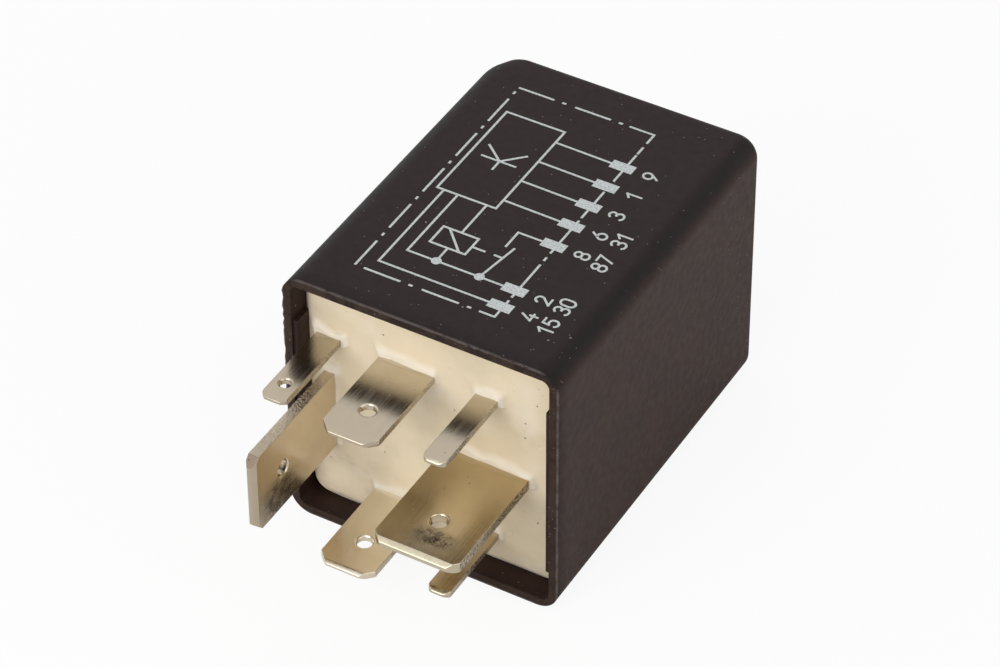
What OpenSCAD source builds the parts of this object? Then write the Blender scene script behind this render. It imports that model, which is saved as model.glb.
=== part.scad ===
// Plug-in control relay with seven flat blades, lying on one side with its printed side up.
// X runs across the open end, Y runs from the blade tips to the closed end, Z is up.

/* [Cap] */
// Width of the cap
cap_w = 31; // [30:0.5:40]
// Height of the cap
cap_h = 31; // [30:0.5:36]
// Length of the cap from its open rim to its closed end
cap_l = 42; // [40:0.5:60]
// Thickness of the cap's walls
cap_wall = 1; // [0.8:0.1:1.4]
// Outer radius of the four long edges
cap_edge_r = 2.4; // [1.8:0.1:4]
// Inner radius of the four long edges
cap_inner_r = 0.9; // [0.5:0.1:1.5]
// Outer radius round the closed end
cap_end_r = 1; // [0.6:0.1:1.7]
// Thickness of the guide pads inside the two side walls
pad_t = 0.5; // [0.3:0.1:0.8]
// Height of the pads' lower ends above the resting side
pad_low = 4.7; // [3:0.1:6]
// Height of the left pad's front end above the rest of it
pad_lift_left = 0.7; // [0.3:0.1:1.5]
// Height of the right pad's front end above the rest of it
pad_lift_right = 1.2; // [0.3:0.1:1.5]
// Free height above the circuit board, for the parts on it
board_headroom = 4.2; // [4:0.1:5]

/* [Sealing and base] */
// Depth of the sealing compound's face below the rim
seal_recess = 2.3; // [1:0.1:4]
// Thickness of the sealing compound
seal_t = 2; // [1:0.1:3]
// Corner radius of the sealing compound
seal_corner_r = 2.4; // [1.6:0.1:4]
// Radius of its lower left corner, where less was poured
seal_low_r = 3.8; // [1.6:0.1:5]
// Thickness of the base plate behind it
base_t = 2.2; // [1.5:0.1:3]
// Clearance of the base plate inside the cap and round each blade
base_fit = 0.05; // [0.02:0.01:0.15]

/* [Blade grid] */
// Spacing of the blade columns and rows
grid_pitch = 9; // [8.6:0.1:9.2]
// Share of the free width inside the cap that lies left of the blades
grid_share = 0.286; // [0.2:0.002:0.4]
// Height of the middle row
grid_z = 13.85; // [13.5:0.05:14.2]
// Sideways shift of the bottom middle blade from its column
bottom_shift = -0.9; // [-1.2:0.1:0]

/* [Blades] */
// Width of the two power blades
power_w = 9.5; // [8:0.1:9.6]
// Thickness of the two power blades
power_t = 1.2; // [1:0.1:1.5]
// Reach of the upright power blade beyond the rim
upright_reach = 13.1; // [10:0.1:16]
// Reach of the level power blade beyond the rim
level_reach = 12.5; // [10:0.1:16]
// Width of the two medium blades
medium_w = 6.3; // [4.8:0.1:7]
// Reach of the medium blades beyond the rim
medium_reach = 9.7; // [8:0.1:12]
// Width of the small blade that has a hole
small_w = 2.8; // [2.4:0.1:4]
// Width of the two narrow blades without a hole
narrow_w = 2.5; // [2.2:0.1:3.5]
// Reach of the small blade and the top narrow blade beyond the rim
small_reach = 8.5; // [7:0.1:10]
// Reach of the bottom narrow blade beyond the rim
low_reach = 8.1; // [7:0.1:10]
// Upward shift of the bottom narrow blade from its row
low_lift = 0.3; // [0:0.1:0.6]
// Thickness of the medium, small and narrow blades
thin_t = 0.8; // [0.6:0.1:1]
// Diameter of the detent hole in the power blades
power_hole_d = 1.8; // [1.2:0.1:3]
// Distance of that hole from the blade's tip
power_hole_back = 5.1; // [4:0.1:7]
// Diameter of the detent hole in the medium blades
medium_hole_d = 1.6; // [1.2:0.1:2.6]
// Distance of that hole from the blade's tip
medium_hole_back = 4.3; // [3:0.1:5]
// Diameter of the detent hole in the small blade
small_hole_d = 1.2; // [0.8:0.1:1.6]
// Distance of that hole from the blade's tip
small_hole_back = 2.5; // [2:0.1:4]
// Width of the strips that rise to the circuit board
riser_w = 1.2; // [0.8:0.1:1.6]

/* [Relay mechanism] */
// Share of the free width beside the make contact that lies left of the coil
coil_share = 0.24; // [0.1:0.01:0.4]
// Share of it that lies between the coil and the yoke
yoke_share = 0.45; // [0.3:0.01:0.6]
// Height of the coil's axis
coil_z = 13; // [12.6:0.1:13.6]
// Outer diameter of the winding
coil_d = 12; // [10:0.1:12.4]
// Diameter of the wire on the winding's outer layer
wire_d = 0.5; // [0.4:0.05:0.8]
// Diameter of the iron core
core_d = 5; // [4:0.1:6]
// Diameter of the pole face
pole_d = 8.4; // [7:0.1:10]
// Thickness of the pole face
pole_t = 1; // [0.8:0.1:1.5]
// Thickness of the bobbin's tube
bobbin_wall = 0.9; // [0.6:0.1:1.2]
// Thickness of the bobbin's flanges
flange_t = 1; // [0.8:0.1:1.5]
// Thickness of the yoke
yoke_t = 1.8; // [1.5:0.1:2]
// Thickness of the armature
armature_t = 1.5; // [1:0.1:2]
// Opening angle of the armature at rest, in degrees
open_angle = 2.5; // [1.5:0.1:3]
// Air gap that stays at the pole when the armature is drawn in
pole_gap = 0.1; // [0.05:0.05:0.2]
// Thickness of the contact spring and the hinge spring
spring_t = 0.3; // [0.2:0.05:0.4]
// Width of the two springs
spring_w = 6; // [4:0.1:8]
// Diameter of the contact heads
contact_d = 3.2; // [2.6:0.1:3.6]
// Height of the contact heads
contact_h = 0.9; // [0.6:0.1:1.2]
// Distance of the contacts from the left power blade
contact_offset = 3; // [2.8:0.1:3.4]

/* [Circuit board] */
// Thickness of the circuit board
board_t = 1.2; // [1:0.1:1.6]
// Length of the leads and pins that stand out of the board
pin_out = 0.8; // [0.5:0.1:1]
// Diameter of the small parts' leads
lead_d = 0.6; // [0.4:0.05:0.7]

/* [Hidden] */
$fn = 48;

// Clearances
rivet_fit = 0.02;
contact_clear = 0.1;
hinge_clear = 0.2;
hole_fit = 0.1;
cut = 1;

// Cap, inside and out
rim_y = (max(upright_reach, level_reach) - cap_l) / 2;
in_w = cap_w - 2 * cap_wall;
in_h = cap_h - 2 * cap_wall;
end_y = cap_l - cap_wall;
pad_setback = 0.3;
clear_x = in_w / 2 - pad_t;

// Blade grid, placed by its share of the width that the blades leave free between the pads
grid_play = 2 * clear_x - small_w / 2 - 2 * grid_pitch - power_w / 2;
grid_x = grid_share * grid_play - clear_x + small_w / 2 + grid_pitch;
contact_x = grid_x - grid_pitch + contact_offset;

// Rivets
rivet_d = 1.4;
rivet_head_d = 2.4;
rivet_head_t = 0.5;

// Coil and yoke, placed by their shares of the free width right of the make contact
tab_margin = 0.5;
make_tab_end = contact_x + contact_d / 2 + tab_margin;
flange_w = coil_d + 2;
coil_play = clear_x - make_tab_end - flange_w - yoke_t - spring_t - rivet_head_t;
coil_x = make_tab_end + coil_share * coil_play + flange_w / 2;
yoke_in = coil_x + flange_w / 2 + yoke_share * coil_play;
yoke_out = yoke_in + yoke_t;

// Circuit board, which lies on top of the guide pads
board_z = cap_h - cap_wall - board_headroom - board_t;
board_top = board_z + board_t;
pad_highs = [board_z + pad_lift_left, board_z + pad_lift_right];
board_side_gap = 0.3;
board_end_gap = 2.5;

// Depths below the rim, from the sealing compound to the yoke
seal_back = seal_recess + seal_t;
base_back = seal_back + base_t;
pad_front_l = base_back - 0.3 - pad_setback;
riser_y = base_back + 0.8;
yoke_y = riser_y + thin_t + 1;
yoke_back = yoke_y + yoke_t;

// Depths from the closed end back to the pole face
parts_depth = 5;
parts_gap = 0.6;
parts_y = end_y - parts_gap - parts_depth / 2;
carrier_back = end_y - parts_depth - 2 * parts_gap;
carrier_y = carrier_back - thin_t;
contact_arm = yoke_out - contact_x;
contact_lift = contact_arm * sin(open_angle);
spring_back = carrier_y - 2 * contact_h - contact_clear - contact_lift;
armature_back = spring_back - spring_t;
armature_y = armature_back - armature_t;
pole_y = armature_y - pole_gap - pole_t;

// Bobbin and winding fill the space between the yoke and the pole face
bobbin_l = pole_y - yoke_back;
bobbin_r = core_d / 2 + base_fit + bobbin_wall;
armature_left = coil_x - pole_d / 2 - 1.3;
armature_w = flange_w - 1;
core_neck_d = core_d - 1.5;

// Blade tips and tails
medium_corner = 1.2;
power_corner = 1;
small_corner = 0.5;
narrow_tip_r = 0.8;
lead_in = 0.5;
long_lead_in = 0.8;
coin_depth = 0.15;
tail_l = riser_y + thin_t - base_back;

// Contact on the left power blade
make_head_y = armature_back - contact_h - contact_clear - contact_h;
make_tab_y = make_head_y - power_t;

// Rivets of the two springs, and the leaf at the hinge
spring_rivet_spread = 2.6;
spring_rivets_x = [coil_x - spring_rivet_spread, coil_x + spring_rivet_spread];
hinge_spring_foot = 10;
hinge_spring_reach = 3.6;
hinge_spring_bend = 0.7;
hinge_spring_play = 0.07;
yoke_rivets_y = [-0.8 * hinge_spring_foot, -0.4 * hinge_spring_foot];

// Strips to the board, and the leads of the parts on it
riser_gap = 0.3;
riser_x = col(1) - power_w / 2 - riser_gap - riser_w / 2;
power_riser_y = yoke_back + 2;
coil_pin_d = 0.7;
coil_pin_spread = 5;
coil_pin_depth = 2.5;
coil_pin_foot = coil_z + armature_w / 2 - coil_pin_depth;

// Parts on the board: [x, distance from the base plate, turned along Y]
resistor_d = 2.3;
resistor_l = 6.3;
resistor_span = 9;
resistor_places = [[-4.7, 7.3, 0], [-4.7, 10.6, 0], [6.3, 7.3, 0], [6.3, 10.6, 0],
                   [-10.8, 18.4, 1], [9.6, 18.4, 1]];
diode_d = 2.6;
diode_l = 5.2;
diode_span = 10.2;
diode_places = [[-7, 18.4, 1], [6, 18.4, 1]];
chip_l = 9.4;
chip_w = 6.3;
chip_h = 3.2;
chip_lift = 0.4;
chip_place = [-0.5, 18.8];
chip_pitch = 2.54;
chip_row = 7.62;
chip_leg_w = 0.5;
chip_leg_t = 0.25;
can_d = parts_depth;
can_l = 11;
can_lead = 1;
can_pitch = 2;
film_l = 7.2;
film_w = 3.5;
film_h = 6.5;
film_pitch = 5;
transistor_w = 4.6;
transistor_t = 3.6;
transistor_h = 4.6;
transistor_drop = 1.2;
transistor_pitch = 1.27;

// The three parts under the far end of the board, evenly spaced between the pads
row_l = transistor_w + can_lead + lead_d / 2 + can_l + film_l;
row_gap = (2 * clear_x - row_l) / 4;
transistor_x = row_gap + transistor_w / 2 - clear_x;
film_x = clear_x - row_gap - film_l / 2;
can_x = film_x - film_l / 2 - row_gap - can_l / 2;

// Solder
solder_h = 0.6;
solder_foot = 0.5;
solder_top = 0.15;
solder_rim = 0.4;

// Column and row positions of the blade grid, and the bottom blades' own places
function col(i) = grid_x + i * grid_pitch;
function row(j) = grid_z + j * grid_pitch;
bottom_x = col(0) + bottom_shift;
low_z = row(-1) + low_lift;

// Depth on the board, from its edge at the base plate
function on_board(place) = [place[0], base_back + place[1]];

// Places of the two leads of a part that lies on the board
function lead_places(place, span) =
    [for (side = [-1, 1]) place[2] == 1
        ? [place[0], base_back + place[1] + side * span / 2]
        : [place[0] + side * span / 2, base_back + place[1]]];

function chip_legs() =
    [for (side = [-1, 1], k = [-1.5:1.5])
        [on_board(chip_place)[0] + side * chip_row / 2, on_board(chip_place)[1] + k * chip_pitch]];

// Leads soldered under the board, and those soldered on top of it
top_part_leads = concat([for (p = resistor_places) each lead_places(p, resistor_span)],
                        [for (p = diode_places) each lead_places(p, diode_span)]);
can_leads = [for (side = [-1, 1]) [can_x - can_l / 2 - can_lead, parts_y + side * can_pitch / 2]];
film_leads = [for (side = [-1, 1]) [film_x + side * film_pitch / 2, parts_y]];
transistor_leads = [for (k = [-1:1]) [transistor_x + k * transistor_pitch, parts_y]];
coil_pin_places = [for (side = [-1, 1])
    [coil_x + side * coil_pin_spread, yoke_back + flange_t / 2]];
under_part_leads = concat(can_leads, film_leads, transistor_leads);
thin_risers = [[col(-1), riser_y], [col(0), riser_y], [col(1), riser_y], [riser_x, riser_y]];

// ---------------------------------------------------------------- helpers

// Places its children in depths measured from the rim
module from_rim() {
    translate([0, rim_y, 0]) children();
}

// Rectangle with round corners, centred across and standing on the X axis
module round_rect(w, h, r) {
    translate([-w / 2 + r, 0]) square([w - 2 * r, h]);
    translate([-w / 2, r]) square([w, h - 2 * r]);
    for (x = [-w / 2 + r, w / 2 - r], y = [r, h - r]) translate([x, y]) circle(r);
}

// Raises a drawing in the XZ plane along Y, from depth y over length l
module along_y(y, l) {
    translate([0, y + l, 0]) rotate([90, 0, 0]) linear_extrude(l) children();
}

// Raises a drawing in the XY plane along Z, centred on height z
module along_z(z, h) {
    translate([0, 0, z - h / 2]) linear_extrude(h) children();
}

// Box centred across and in height, from depth y over length l
module bar_y(x, y, z, w, l, h) {
    translate([x - w / 2, y, z - h / 2]) cube([w, l, h]);
}

// Round bar along Y, from depth y over length l
module rod_y(x, y, z, d, l) {
    translate([x, y, z]) rotate([-90, 0, 0]) cylinder(d = d, h = l);
}

// Round bar along X
module rod_x(x, y, z, d, l) {
    translate([x, y, z]) rotate([0, 90, 0]) cylinder(d = d, h = l);
}

// Rivet along Y with its head at depth y, its shank running towards the rim
module rivet_y(x, y, z, shank) {
    rod_y(x, y, z, rivet_head_d, rivet_head_t);
    rod_y(x, y - shank, z, rivet_d, shank + cut / 10);
}

// Turns the armature's pieces from drawn in to their rest angle, about the yoke's outer edge
module at_rest() {
    translate([yoke_out, armature_y, 0])
        rotate([0, 0, -open_angle])
            translate([-yoke_out, -armature_y, 0])
                children();
}

// ---------------------------------------------------------------- cap, sealing, base

// Block with round long edges and a round closed end
module cap_block() {
    r = cap_end_r;
    inner_r = cap_edge_r - r;
    along_y(0, cap_l - r) round_rect(cap_w, cap_h, cap_edge_r);
    translate([0, 0, r]) along_y(0, cap_l) round_rect(cap_w - 2 * r, cap_h - 2 * r, inner_r);
    side = cap_w / 2 - cap_edge_r;
    for (x = [-cap_w / 2 + r, cap_w / 2 - r])
        translate([x, cap_l - r, cap_edge_r]) cylinder(r = r, h = cap_h - 2 * cap_edge_r);
    for (z = [r, cap_h - r])
        translate([-side, cap_l - r, z]) rotate([0, 90, 0]) cylinder(r = r, h = 2 * side);
    for (x = [-side, side], z = [cap_edge_r, cap_h - cap_edge_r])
        translate([x, cap_l - r, z]) rotate([90, 0, 0]) round_edged_disc(inner_r, r);
}

// Disc of thickness 2r whose edge is a half round of radius r
module round_edged_disc(flat_r, r) {
    rotate_extrude() {
        translate([0, -r]) square([flat_r, 2 * r]);
        intersection() {
            translate([flat_r, 0]) circle(r);
            translate([flat_r, -r]) square([r, 2 * r]);
        }
    }
}

// Guide pads on the inside of the two side walls, left and right each as high as given
module guide_pads(y, l, highs, spare = 0) {
    for (k = [0, 1]) {
        side = 2 * k - 1;
        bar_y(side * (in_w - pad_t) / 2 - side * spare / 2, y, (pad_low + highs[k]) / 2,
              pad_t + spare, l, highs[k] - pad_low + 2 * spare);
    }
}

module cap() {
    color([0.20, 0.18, 0.17]) from_rim() {
        difference() {
            cap_block();
            translate([0, 0, cap_wall]) along_y(-cut, end_y + cut) round_rect(in_w, in_h, cap_inner_r);
        }
        guide_pads(pad_setback, end_y - pad_setback, [board_z, board_z]);
        guide_pads(pad_setback, pad_front_l, pad_highs);
    }
}

// Passage of every blade through the sealing and the base, wider by the fit
module blade_passages(y, l, fit = 0) {
    bar_y(col(-1), y, row(1), small_w + 2 * fit, l, thin_t + 2 * fit);
    bar_y(col(0), y, row(1), medium_w + 2 * fit, l, thin_t + 2 * fit);
    bar_y(col(1), y, row(1), narrow_w + 2 * fit, l, thin_t + 2 * fit);
    bar_y(col(-1), y, row(0), power_t + 2 * fit, l, power_w + 2 * fit);
    bar_y(col(1), y, row(0), power_w + 2 * fit, l, power_t + 2 * fit);
    bar_y(bottom_x, y, row(-1), medium_w + 2 * fit, l, thin_t + 2 * fit);
    bar_y(col(1), y, low_z, narrow_w + 2 * fit, l, thin_t + 2 * fit);
}

// Outline of the sealing compound, rounder at its lower left corner
module seal_outline() {
    side = in_w / 2 - seal_low_r;
    difference() {
        round_rect(in_w, in_h, seal_corner_r);
        translate([-in_w / 2, 0]) square(seal_low_r);
    }
    intersection() {
        translate([-side, seal_low_r]) circle(seal_low_r);
        translate([-in_w / 2, 0]) square(seal_low_r);
    }
}

module sealing_compound() {
    color([0.84, 0.78, 0.66]) from_rim() difference() {
        translate([0, 0, cap_wall]) along_y(seal_recess, seal_t) seal_outline();
        guide_pads(seal_recess - cut, seal_t + 2 * cut, pad_highs);
        blade_passages(seal_recess - cut, seal_t + 2 * cut);
    }
}

module base_plate() {
    color([0.24, 0.21, 0.19]) from_rim() difference() {
        translate([0, 0, cap_wall + base_fit]) along_y(seal_back, base_t)
            round_rect(in_w - 2 * base_fit, in_h - 2 * base_fit, cap_inner_r);
        guide_pads(seal_back - cut, base_t + 2 * cut, pad_highs, base_fit);
        blade_passages(seal_back - cut, base_t + 2 * cut, base_fit);
    }
}

// ---------------------------------------------------------------- blades

// Flat outline of a blade, its tip at -reach, with cut corners
module cut_tip_outline(w, reach, l, corner) {
    polygon([[-w / 2, l - reach], [-w / 2, corner - reach], [corner - w / 2, -reach],
             [w / 2 - corner, -reach], [w / 2, corner - reach], [w / 2, l - reach]]);
}

// Flat outline of a blade with a round tip
module round_tip_outline(w, reach, l, r) {
    translate([-w / 2, r - reach]) square([w, l - r]);
    translate([r - w / 2, -reach]) square([w - 2 * r, 2 * r]);
    for (x = [r - w / 2, w / 2 - r]) translate([x, r - reach]) circle(r);
}

// Flat blade in the XY plane: the outline given as child, with a bevelled leading edge
module blade(w, t, reach, l, bevel) {
    intersection() {
        along_z(0, t) children();
        rotate([90, 0, 90]) translate([0, 0, -w / 2 - cut]) linear_extrude(w + 2 * cut)
            polygon([[l - reach, -t / 2], [bevel - reach, -t / 2], [-reach, -t / 5],
                     [-reach, t / 5], [bevel - reach, t / 2], [l - reach, t / 2]]);
    }
}

// Detent hole with a coined edge on both faces
module detent_hole(d, t, y) {
    translate([0, y, -t / 2 - cut]) cylinder(d = d, h = t + 2 * cut);
    for (side = [0, 1]) mirror([0, 0, side])
        translate([0, y, t / 2 - coin_depth])
            cylinder(d1 = d, d2 = d + 4 * coin_depth, h = 2 * coin_depth);
}

// Strip from the back of a thin blade up through the circuit board
module board_riser(x, z) {
    translate([x - riser_w / 2, riser_y, z - thin_t / 2])
        cube([riser_w, thin_t, board_top + pin_out - z + thin_t / 2]);
}

// Thin blade at a grid place, with its tail behind the base plate
module thin_blade(x, z, w, tail) {
    translate([x, 0, z]) children();
    bar_y(x, seal_recess - cut, z, w, base_back - seal_recess + cut, thin_t);
    bar_y(x, base_back, z, riser_w, tail, thin_t);
}

module medium_tip() {
    difference() {
        blade(medium_w, thin_t, medium_reach, medium_reach + seal_recess, lead_in)
            cut_tip_outline(medium_w, medium_reach, medium_reach + seal_recess, medium_corner);
        detent_hole(medium_hole_d, thin_t, medium_hole_back - medium_reach);
    }
}

module narrow_tip(reach) {
    blade(narrow_w, thin_t, reach, reach + seal_recess, lead_in)
        round_tip_outline(narrow_w, reach, reach + seal_recess, narrow_tip_r);
}

module power_tip(reach) {
    difference() {
        blade(power_w, power_t, reach, reach + seal_recess, lead_in)
            cut_tip_outline(power_w, reach, reach + seal_recess, power_corner);
        detent_hole(power_hole_d, power_t, power_hole_back - reach);
    }
}

module blade_top_left() {
    color([0.74, 0.68, 0.57]) from_rim() {
        thin_blade(col(-1), row(1), small_w, tail_l) difference() {
            blade(small_w, thin_t, small_reach, small_reach + seal_recess, long_lead_in)
                cut_tip_outline(small_w, small_reach, small_reach + seal_recess, small_corner);
            detent_hole(small_hole_d, thin_t, small_hole_back - small_reach);
        }
        board_riser(col(-1), row(1));
    }
}

module blade_top_middle() {
    color([0.74, 0.68, 0.57]) from_rim() {
        thin_blade(col(0), row(1), medium_w, tail_l) medium_tip();
        board_riser(col(0), row(1));
    }
}

module blade_top_right() {
    color([0.74, 0.68, 0.57]) from_rim() {
        thin_blade(col(1), row(1), narrow_w, tail_l) narrow_tip(small_reach);
        board_riser(col(1), row(1));
    }
}

// Narrow blade whose strip runs in past the power blade before it rises to the board
module blade_bottom_right() {
    color([0.74, 0.68, 0.57]) from_rim() {
        thin_blade(col(1), low_z, narrow_w, tail_l) narrow_tip(low_reach);
        translate([riser_x - riser_w / 2, riser_y, low_z - thin_t / 2])
            cube([col(1) - riser_x + riser_w, thin_t, riser_w]);
        board_riser(riser_x, low_z);
    }
}

// Medium blade that runs on along the bottom and carries the break contact at its far end
module blade_bottom_middle() {
    post_l = contact_x - contact_d / 2 - 0.4;
    post_r = contact_x + contact_d / 2 + 0.4;
    strip_r = bottom_x + medium_w / 2;
    strip_low = row(-1) - thin_t / 2;
    foot_h = 2.6;
    color([0.74, 0.68, 0.57]) from_rim() difference() {
        union() {
            translate([bottom_x, 0, row(-1)]) medium_tip();
            bar_y(bottom_x, seal_recess - cut, row(-1), medium_w, carrier_back - seal_recess + cut, thin_t);
            translate([post_l, carrier_y, strip_low]) cube([strip_r - post_l, thin_t, foot_h]);
            translate([post_l, carrier_y, strip_low])
                cube([post_r - post_l, thin_t, coil_z + contact_d / 2 + 0.6 - strip_low]);
        }
        rod_y(contact_x, carrier_y - cut, coil_z, rivet_d + 2 * rivet_fit, thin_t + 2 * cut);
    }
}

// Upright power blade that runs on along the side wall and carries the make contact
module power_blade_left() {
    tab_low = coil_z - contact_d / 2 - 1;
    tab_h = contact_d + 2;
    color([0.76, 0.70, 0.58]) from_rim() difference() {
        union() {
            translate([col(-1), 0, row(0)]) rotate([0, 90, 0]) power_tip(upright_reach);
            bar_y(col(-1), seal_recess - cut, row(0), power_t,
                  make_head_y - seal_recess + cut, power_w);
            translate([col(-1) - power_t / 2, make_tab_y, tab_low])
                cube([make_tab_end - col(-1) + power_t / 2, power_t, tab_h]);
            translate([col(-1) - power_t / 2, power_riser_y, row(0)])
                cube([power_t, riser_w, board_top + pin_out - row(0)]);
        }
        rod_y(contact_x, make_tab_y - cut, coil_z, rivet_d + 2 * rivet_fit, power_t + 2 * cut);
    }
}

// Level power blade that ends on the yoke
module power_blade_right() {
    color([0.76, 0.70, 0.58]) from_rim() {
        translate([col(1), 0, row(0)]) power_tip(level_reach);
        bar_y(col(1), seal_recess - cut, row(0), power_w, yoke_y - seal_recess + cut, power_t);
    }
}

// ---------------------------------------------------------------- relay mechanism

module yoke() {
    color([0.62, 0.63, 0.64]) from_rim() difference() {
        union() {
            translate([coil_x - flange_w / 2, yoke_y, coil_z - armature_w / 2])
                cube([yoke_out - coil_x + flange_w / 2, yoke_t, armature_w]);
            translate([yoke_in, yoke_y, coil_z - armature_w / 2])
                cube([yoke_t, armature_y - yoke_y, armature_w]);
        }
        rod_y(coil_x, yoke_y - cut, coil_z, core_neck_d + 2 * rivet_fit, yoke_t + 2 * cut);
        for (y = yoke_rivets_y)
            rod_x(yoke_in - cut, armature_y + y, coil_z, rivet_d + 2 * rivet_fit, yoke_t + 2 * cut);
    }
}

module core() {
    color([0.55, 0.56, 0.58]) from_rim() {
        rod_y(coil_x, yoke_y, coil_z, core_neck_d, yoke_t + cut / 10);
        rod_y(coil_x, yoke_back, coil_z, core_d, bobbin_l + cut / 10);
        rod_y(coil_x, pole_y, coil_z, pole_d, pole_t);
    }
}

module bobbin() {
    color([0.86, 0.84, 0.78]) from_rim() difference() {
        union() {
            rod_y(coil_x, yoke_back, coil_z, 2 * bobbin_r, bobbin_l);
            for (y = [yoke_back, pole_y - flange_t])
                bar_y(coil_x, y, coil_z, flange_w, flange_t, armature_w);
        }
        rod_y(coil_x, yoke_back - cut, coil_z, core_d + 2 * base_fit, bobbin_l + 2 * cut);
        for (p = coil_pin_places)
            translate([p[0], p[1], coil_pin_foot]) cylinder(d = coil_pin_d, h = armature_w);
    }
}

// Outer half of the winding's section, one bump for each turn of its outer layer
module winding_section() {
    l = bobbin_l - 2 * flange_t;
    turns = floor(l / wire_d);
    pitch = l / turns;
    translate([bobbin_r, 0]) square([coil_d / 2 - bobbin_r - wire_d / 2, l]);
    for (k = [0:turns - 1])
        translate([coil_d / 2 - wire_d / 2, (k + 0.5) * pitch]) intersection() {
            circle(d = wire_d, $fn = 8);
            translate([-wire_d, -pitch / 2]) square([2 * wire_d, pitch]);
        }
}

module coil_winding() {
    color([0.72, 0.38, 0.18]) from_rim()
        translate([coil_x, yoke_back + flange_t, coil_z]) rotate([-90, 0, 0])
            rotate_extrude() winding_section();
}

module coil_pins() {
    color([0.78, 0.76, 0.70]) from_rim()
        for (p = coil_pin_places)
            translate([p[0], p[1], coil_pin_foot])
                cylinder(d = coil_pin_d, h = board_top + pin_out - coil_pin_foot);
}

module armature() {
    color([0.58, 0.59, 0.60]) from_rim() at_rest() difference() {
        translate([armature_left, armature_y, coil_z - armature_w / 2])
            cube([yoke_out - hinge_clear - armature_left, armature_t, armature_w]);
        for (x = spring_rivets_x)
            rod_y(x, armature_y - cut, coil_z, rivet_d + 2 * rivet_fit, armature_t + 2 * cut);
    }
}

module contact_spring() {
    left = contact_x - contact_d / 2 - 0.3;
    right = coil_x + pole_d / 2 + 0.6;
    neck_w = contact_d + 0.6;
    color([0.80, 0.62, 0.38]) from_rim() at_rest() difference() {
        union() {
            translate([armature_left, armature_back, coil_z - spring_w / 2])
                cube([right - armature_left, spring_t, spring_w]);
            translate([left, armature_back, coil_z - neck_w / 2])
                cube([armature_left - left + cut, spring_t, neck_w]);
        }
        for (x = spring_rivets_x)
            rod_y(x, armature_back - cut, coil_z, rivet_d + 2 * rivet_fit, spring_t + 2 * cut);
        rod_y(contact_x, armature_back - cut, coil_z, rivet_d + 2 * rivet_fit, spring_t + 2 * cut);
    }
}

module contact_spring_rivets() {
    color([0.70, 0.68, 0.64]) from_rim() at_rest()
        for (x = spring_rivets_x)
            rivet_y(x, spring_back, coil_z, spring_t + armature_t);
}

// Contact with a head on each side of the contact spring
module moving_contact() {
    color([0.85, 0.84, 0.80]) from_rim() at_rest() {
        rod_y(contact_x, armature_back - contact_h, coil_z, contact_d, contact_h);
        rod_y(contact_x, armature_back - cut / 10, coil_z, rivet_d, spring_t + cut / 5);
        rod_y(contact_x, spring_back, coil_z, contact_d, contact_h);
    }
}

module make_contact() {
    color([0.85, 0.84, 0.80]) from_rim() {
        rod_y(contact_x, make_head_y, coil_z, contact_d, contact_h);
        rod_y(contact_x, make_tab_y, coil_z, rivet_d, power_t + cut / 10);
    }
}

module break_contact() {
    color([0.85, 0.84, 0.80]) from_rim() {
        rod_y(contact_x, carrier_y - contact_h, coil_z, contact_d, contact_h);
        rod_y(contact_x, carrier_y - cut / 10, coil_z, rivet_d, thin_t + cut / 10);
    }
}

// Leaf fixed on the yoke, bent round the hinge to press on the armature's back
module hinge_spring() {
    reach = hinge_spring_reach;
    foot = -hinge_spring_foot;
    bend_r = hinge_spring_bend;
    tip_y = armature_t + reach * sin(open_angle) + hinge_spring_play;
    color([0.80, 0.62, 0.38]) from_rim() difference() {
        translate([yoke_out, armature_y, 0]) along_z(coil_z, spring_w) {
            translate([0, foot]) square([spring_t, tip_y + spring_t - bend_r - foot]);
            translate([-reach, tip_y]) square([reach + spring_t - bend_r, spring_t]);
            translate([spring_t - bend_r, tip_y + spring_t - bend_r]) difference() {
                intersection() {
                    circle(bend_r);
                    square(bend_r);
                }
                circle(bend_r - spring_t);
            }
        }
        for (y = yoke_rivets_y)
            rod_x(yoke_out - cut, armature_y + y, coil_z, rivet_d + 2 * rivet_fit, spring_t + 2 * cut);
    }
}

module hinge_spring_rivets() {
    color([0.70, 0.68, 0.64]) from_rim()
        for (y = yoke_rivets_y) {
            rod_x(yoke_in, armature_y + y, coil_z, rivet_d, yoke_t + spring_t + cut / 10);
            rod_x(yoke_out + spring_t, armature_y + y, coil_z, rivet_head_d, rivet_head_t);
        }
}

// ---------------------------------------------------------------- circuit board and its parts

module circuit_board() {
    w = in_w - 2 * board_side_gap;
    l = end_y - board_end_gap - base_back;
    slot = riser_w + 2 * hole_fit;
    color([0.16, 0.36, 0.20]) from_rim() difference() {
        bar_y(0, base_back, board_z + board_t / 2, w, l, board_t);
        for (p = thin_risers)
            translate([p[0] - slot / 2, p[1] - hole_fit, board_z - cut])
                cube([slot, thin_t + 2 * hole_fit, board_t + 2 * cut]);
        translate([col(-1) - power_t / 2 - hole_fit, power_riser_y - hole_fit, board_z - cut])
            cube([power_t + 2 * hole_fit, slot, board_t + 2 * cut]);
        for (p = concat(top_part_leads, under_part_leads)) board_hole(p, lead_d);
        for (p = coil_pin_places) board_hole(p, coil_pin_d);
        for (p = chip_legs()) board_hole(p, chip_leg_w * 1.5);
    }
}

module board_hole(p, d) {
    translate([p[0], p[1], board_z - cut]) cylinder(d = d + 2 * hole_fit, h = board_t + 2 * cut);
}

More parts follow.
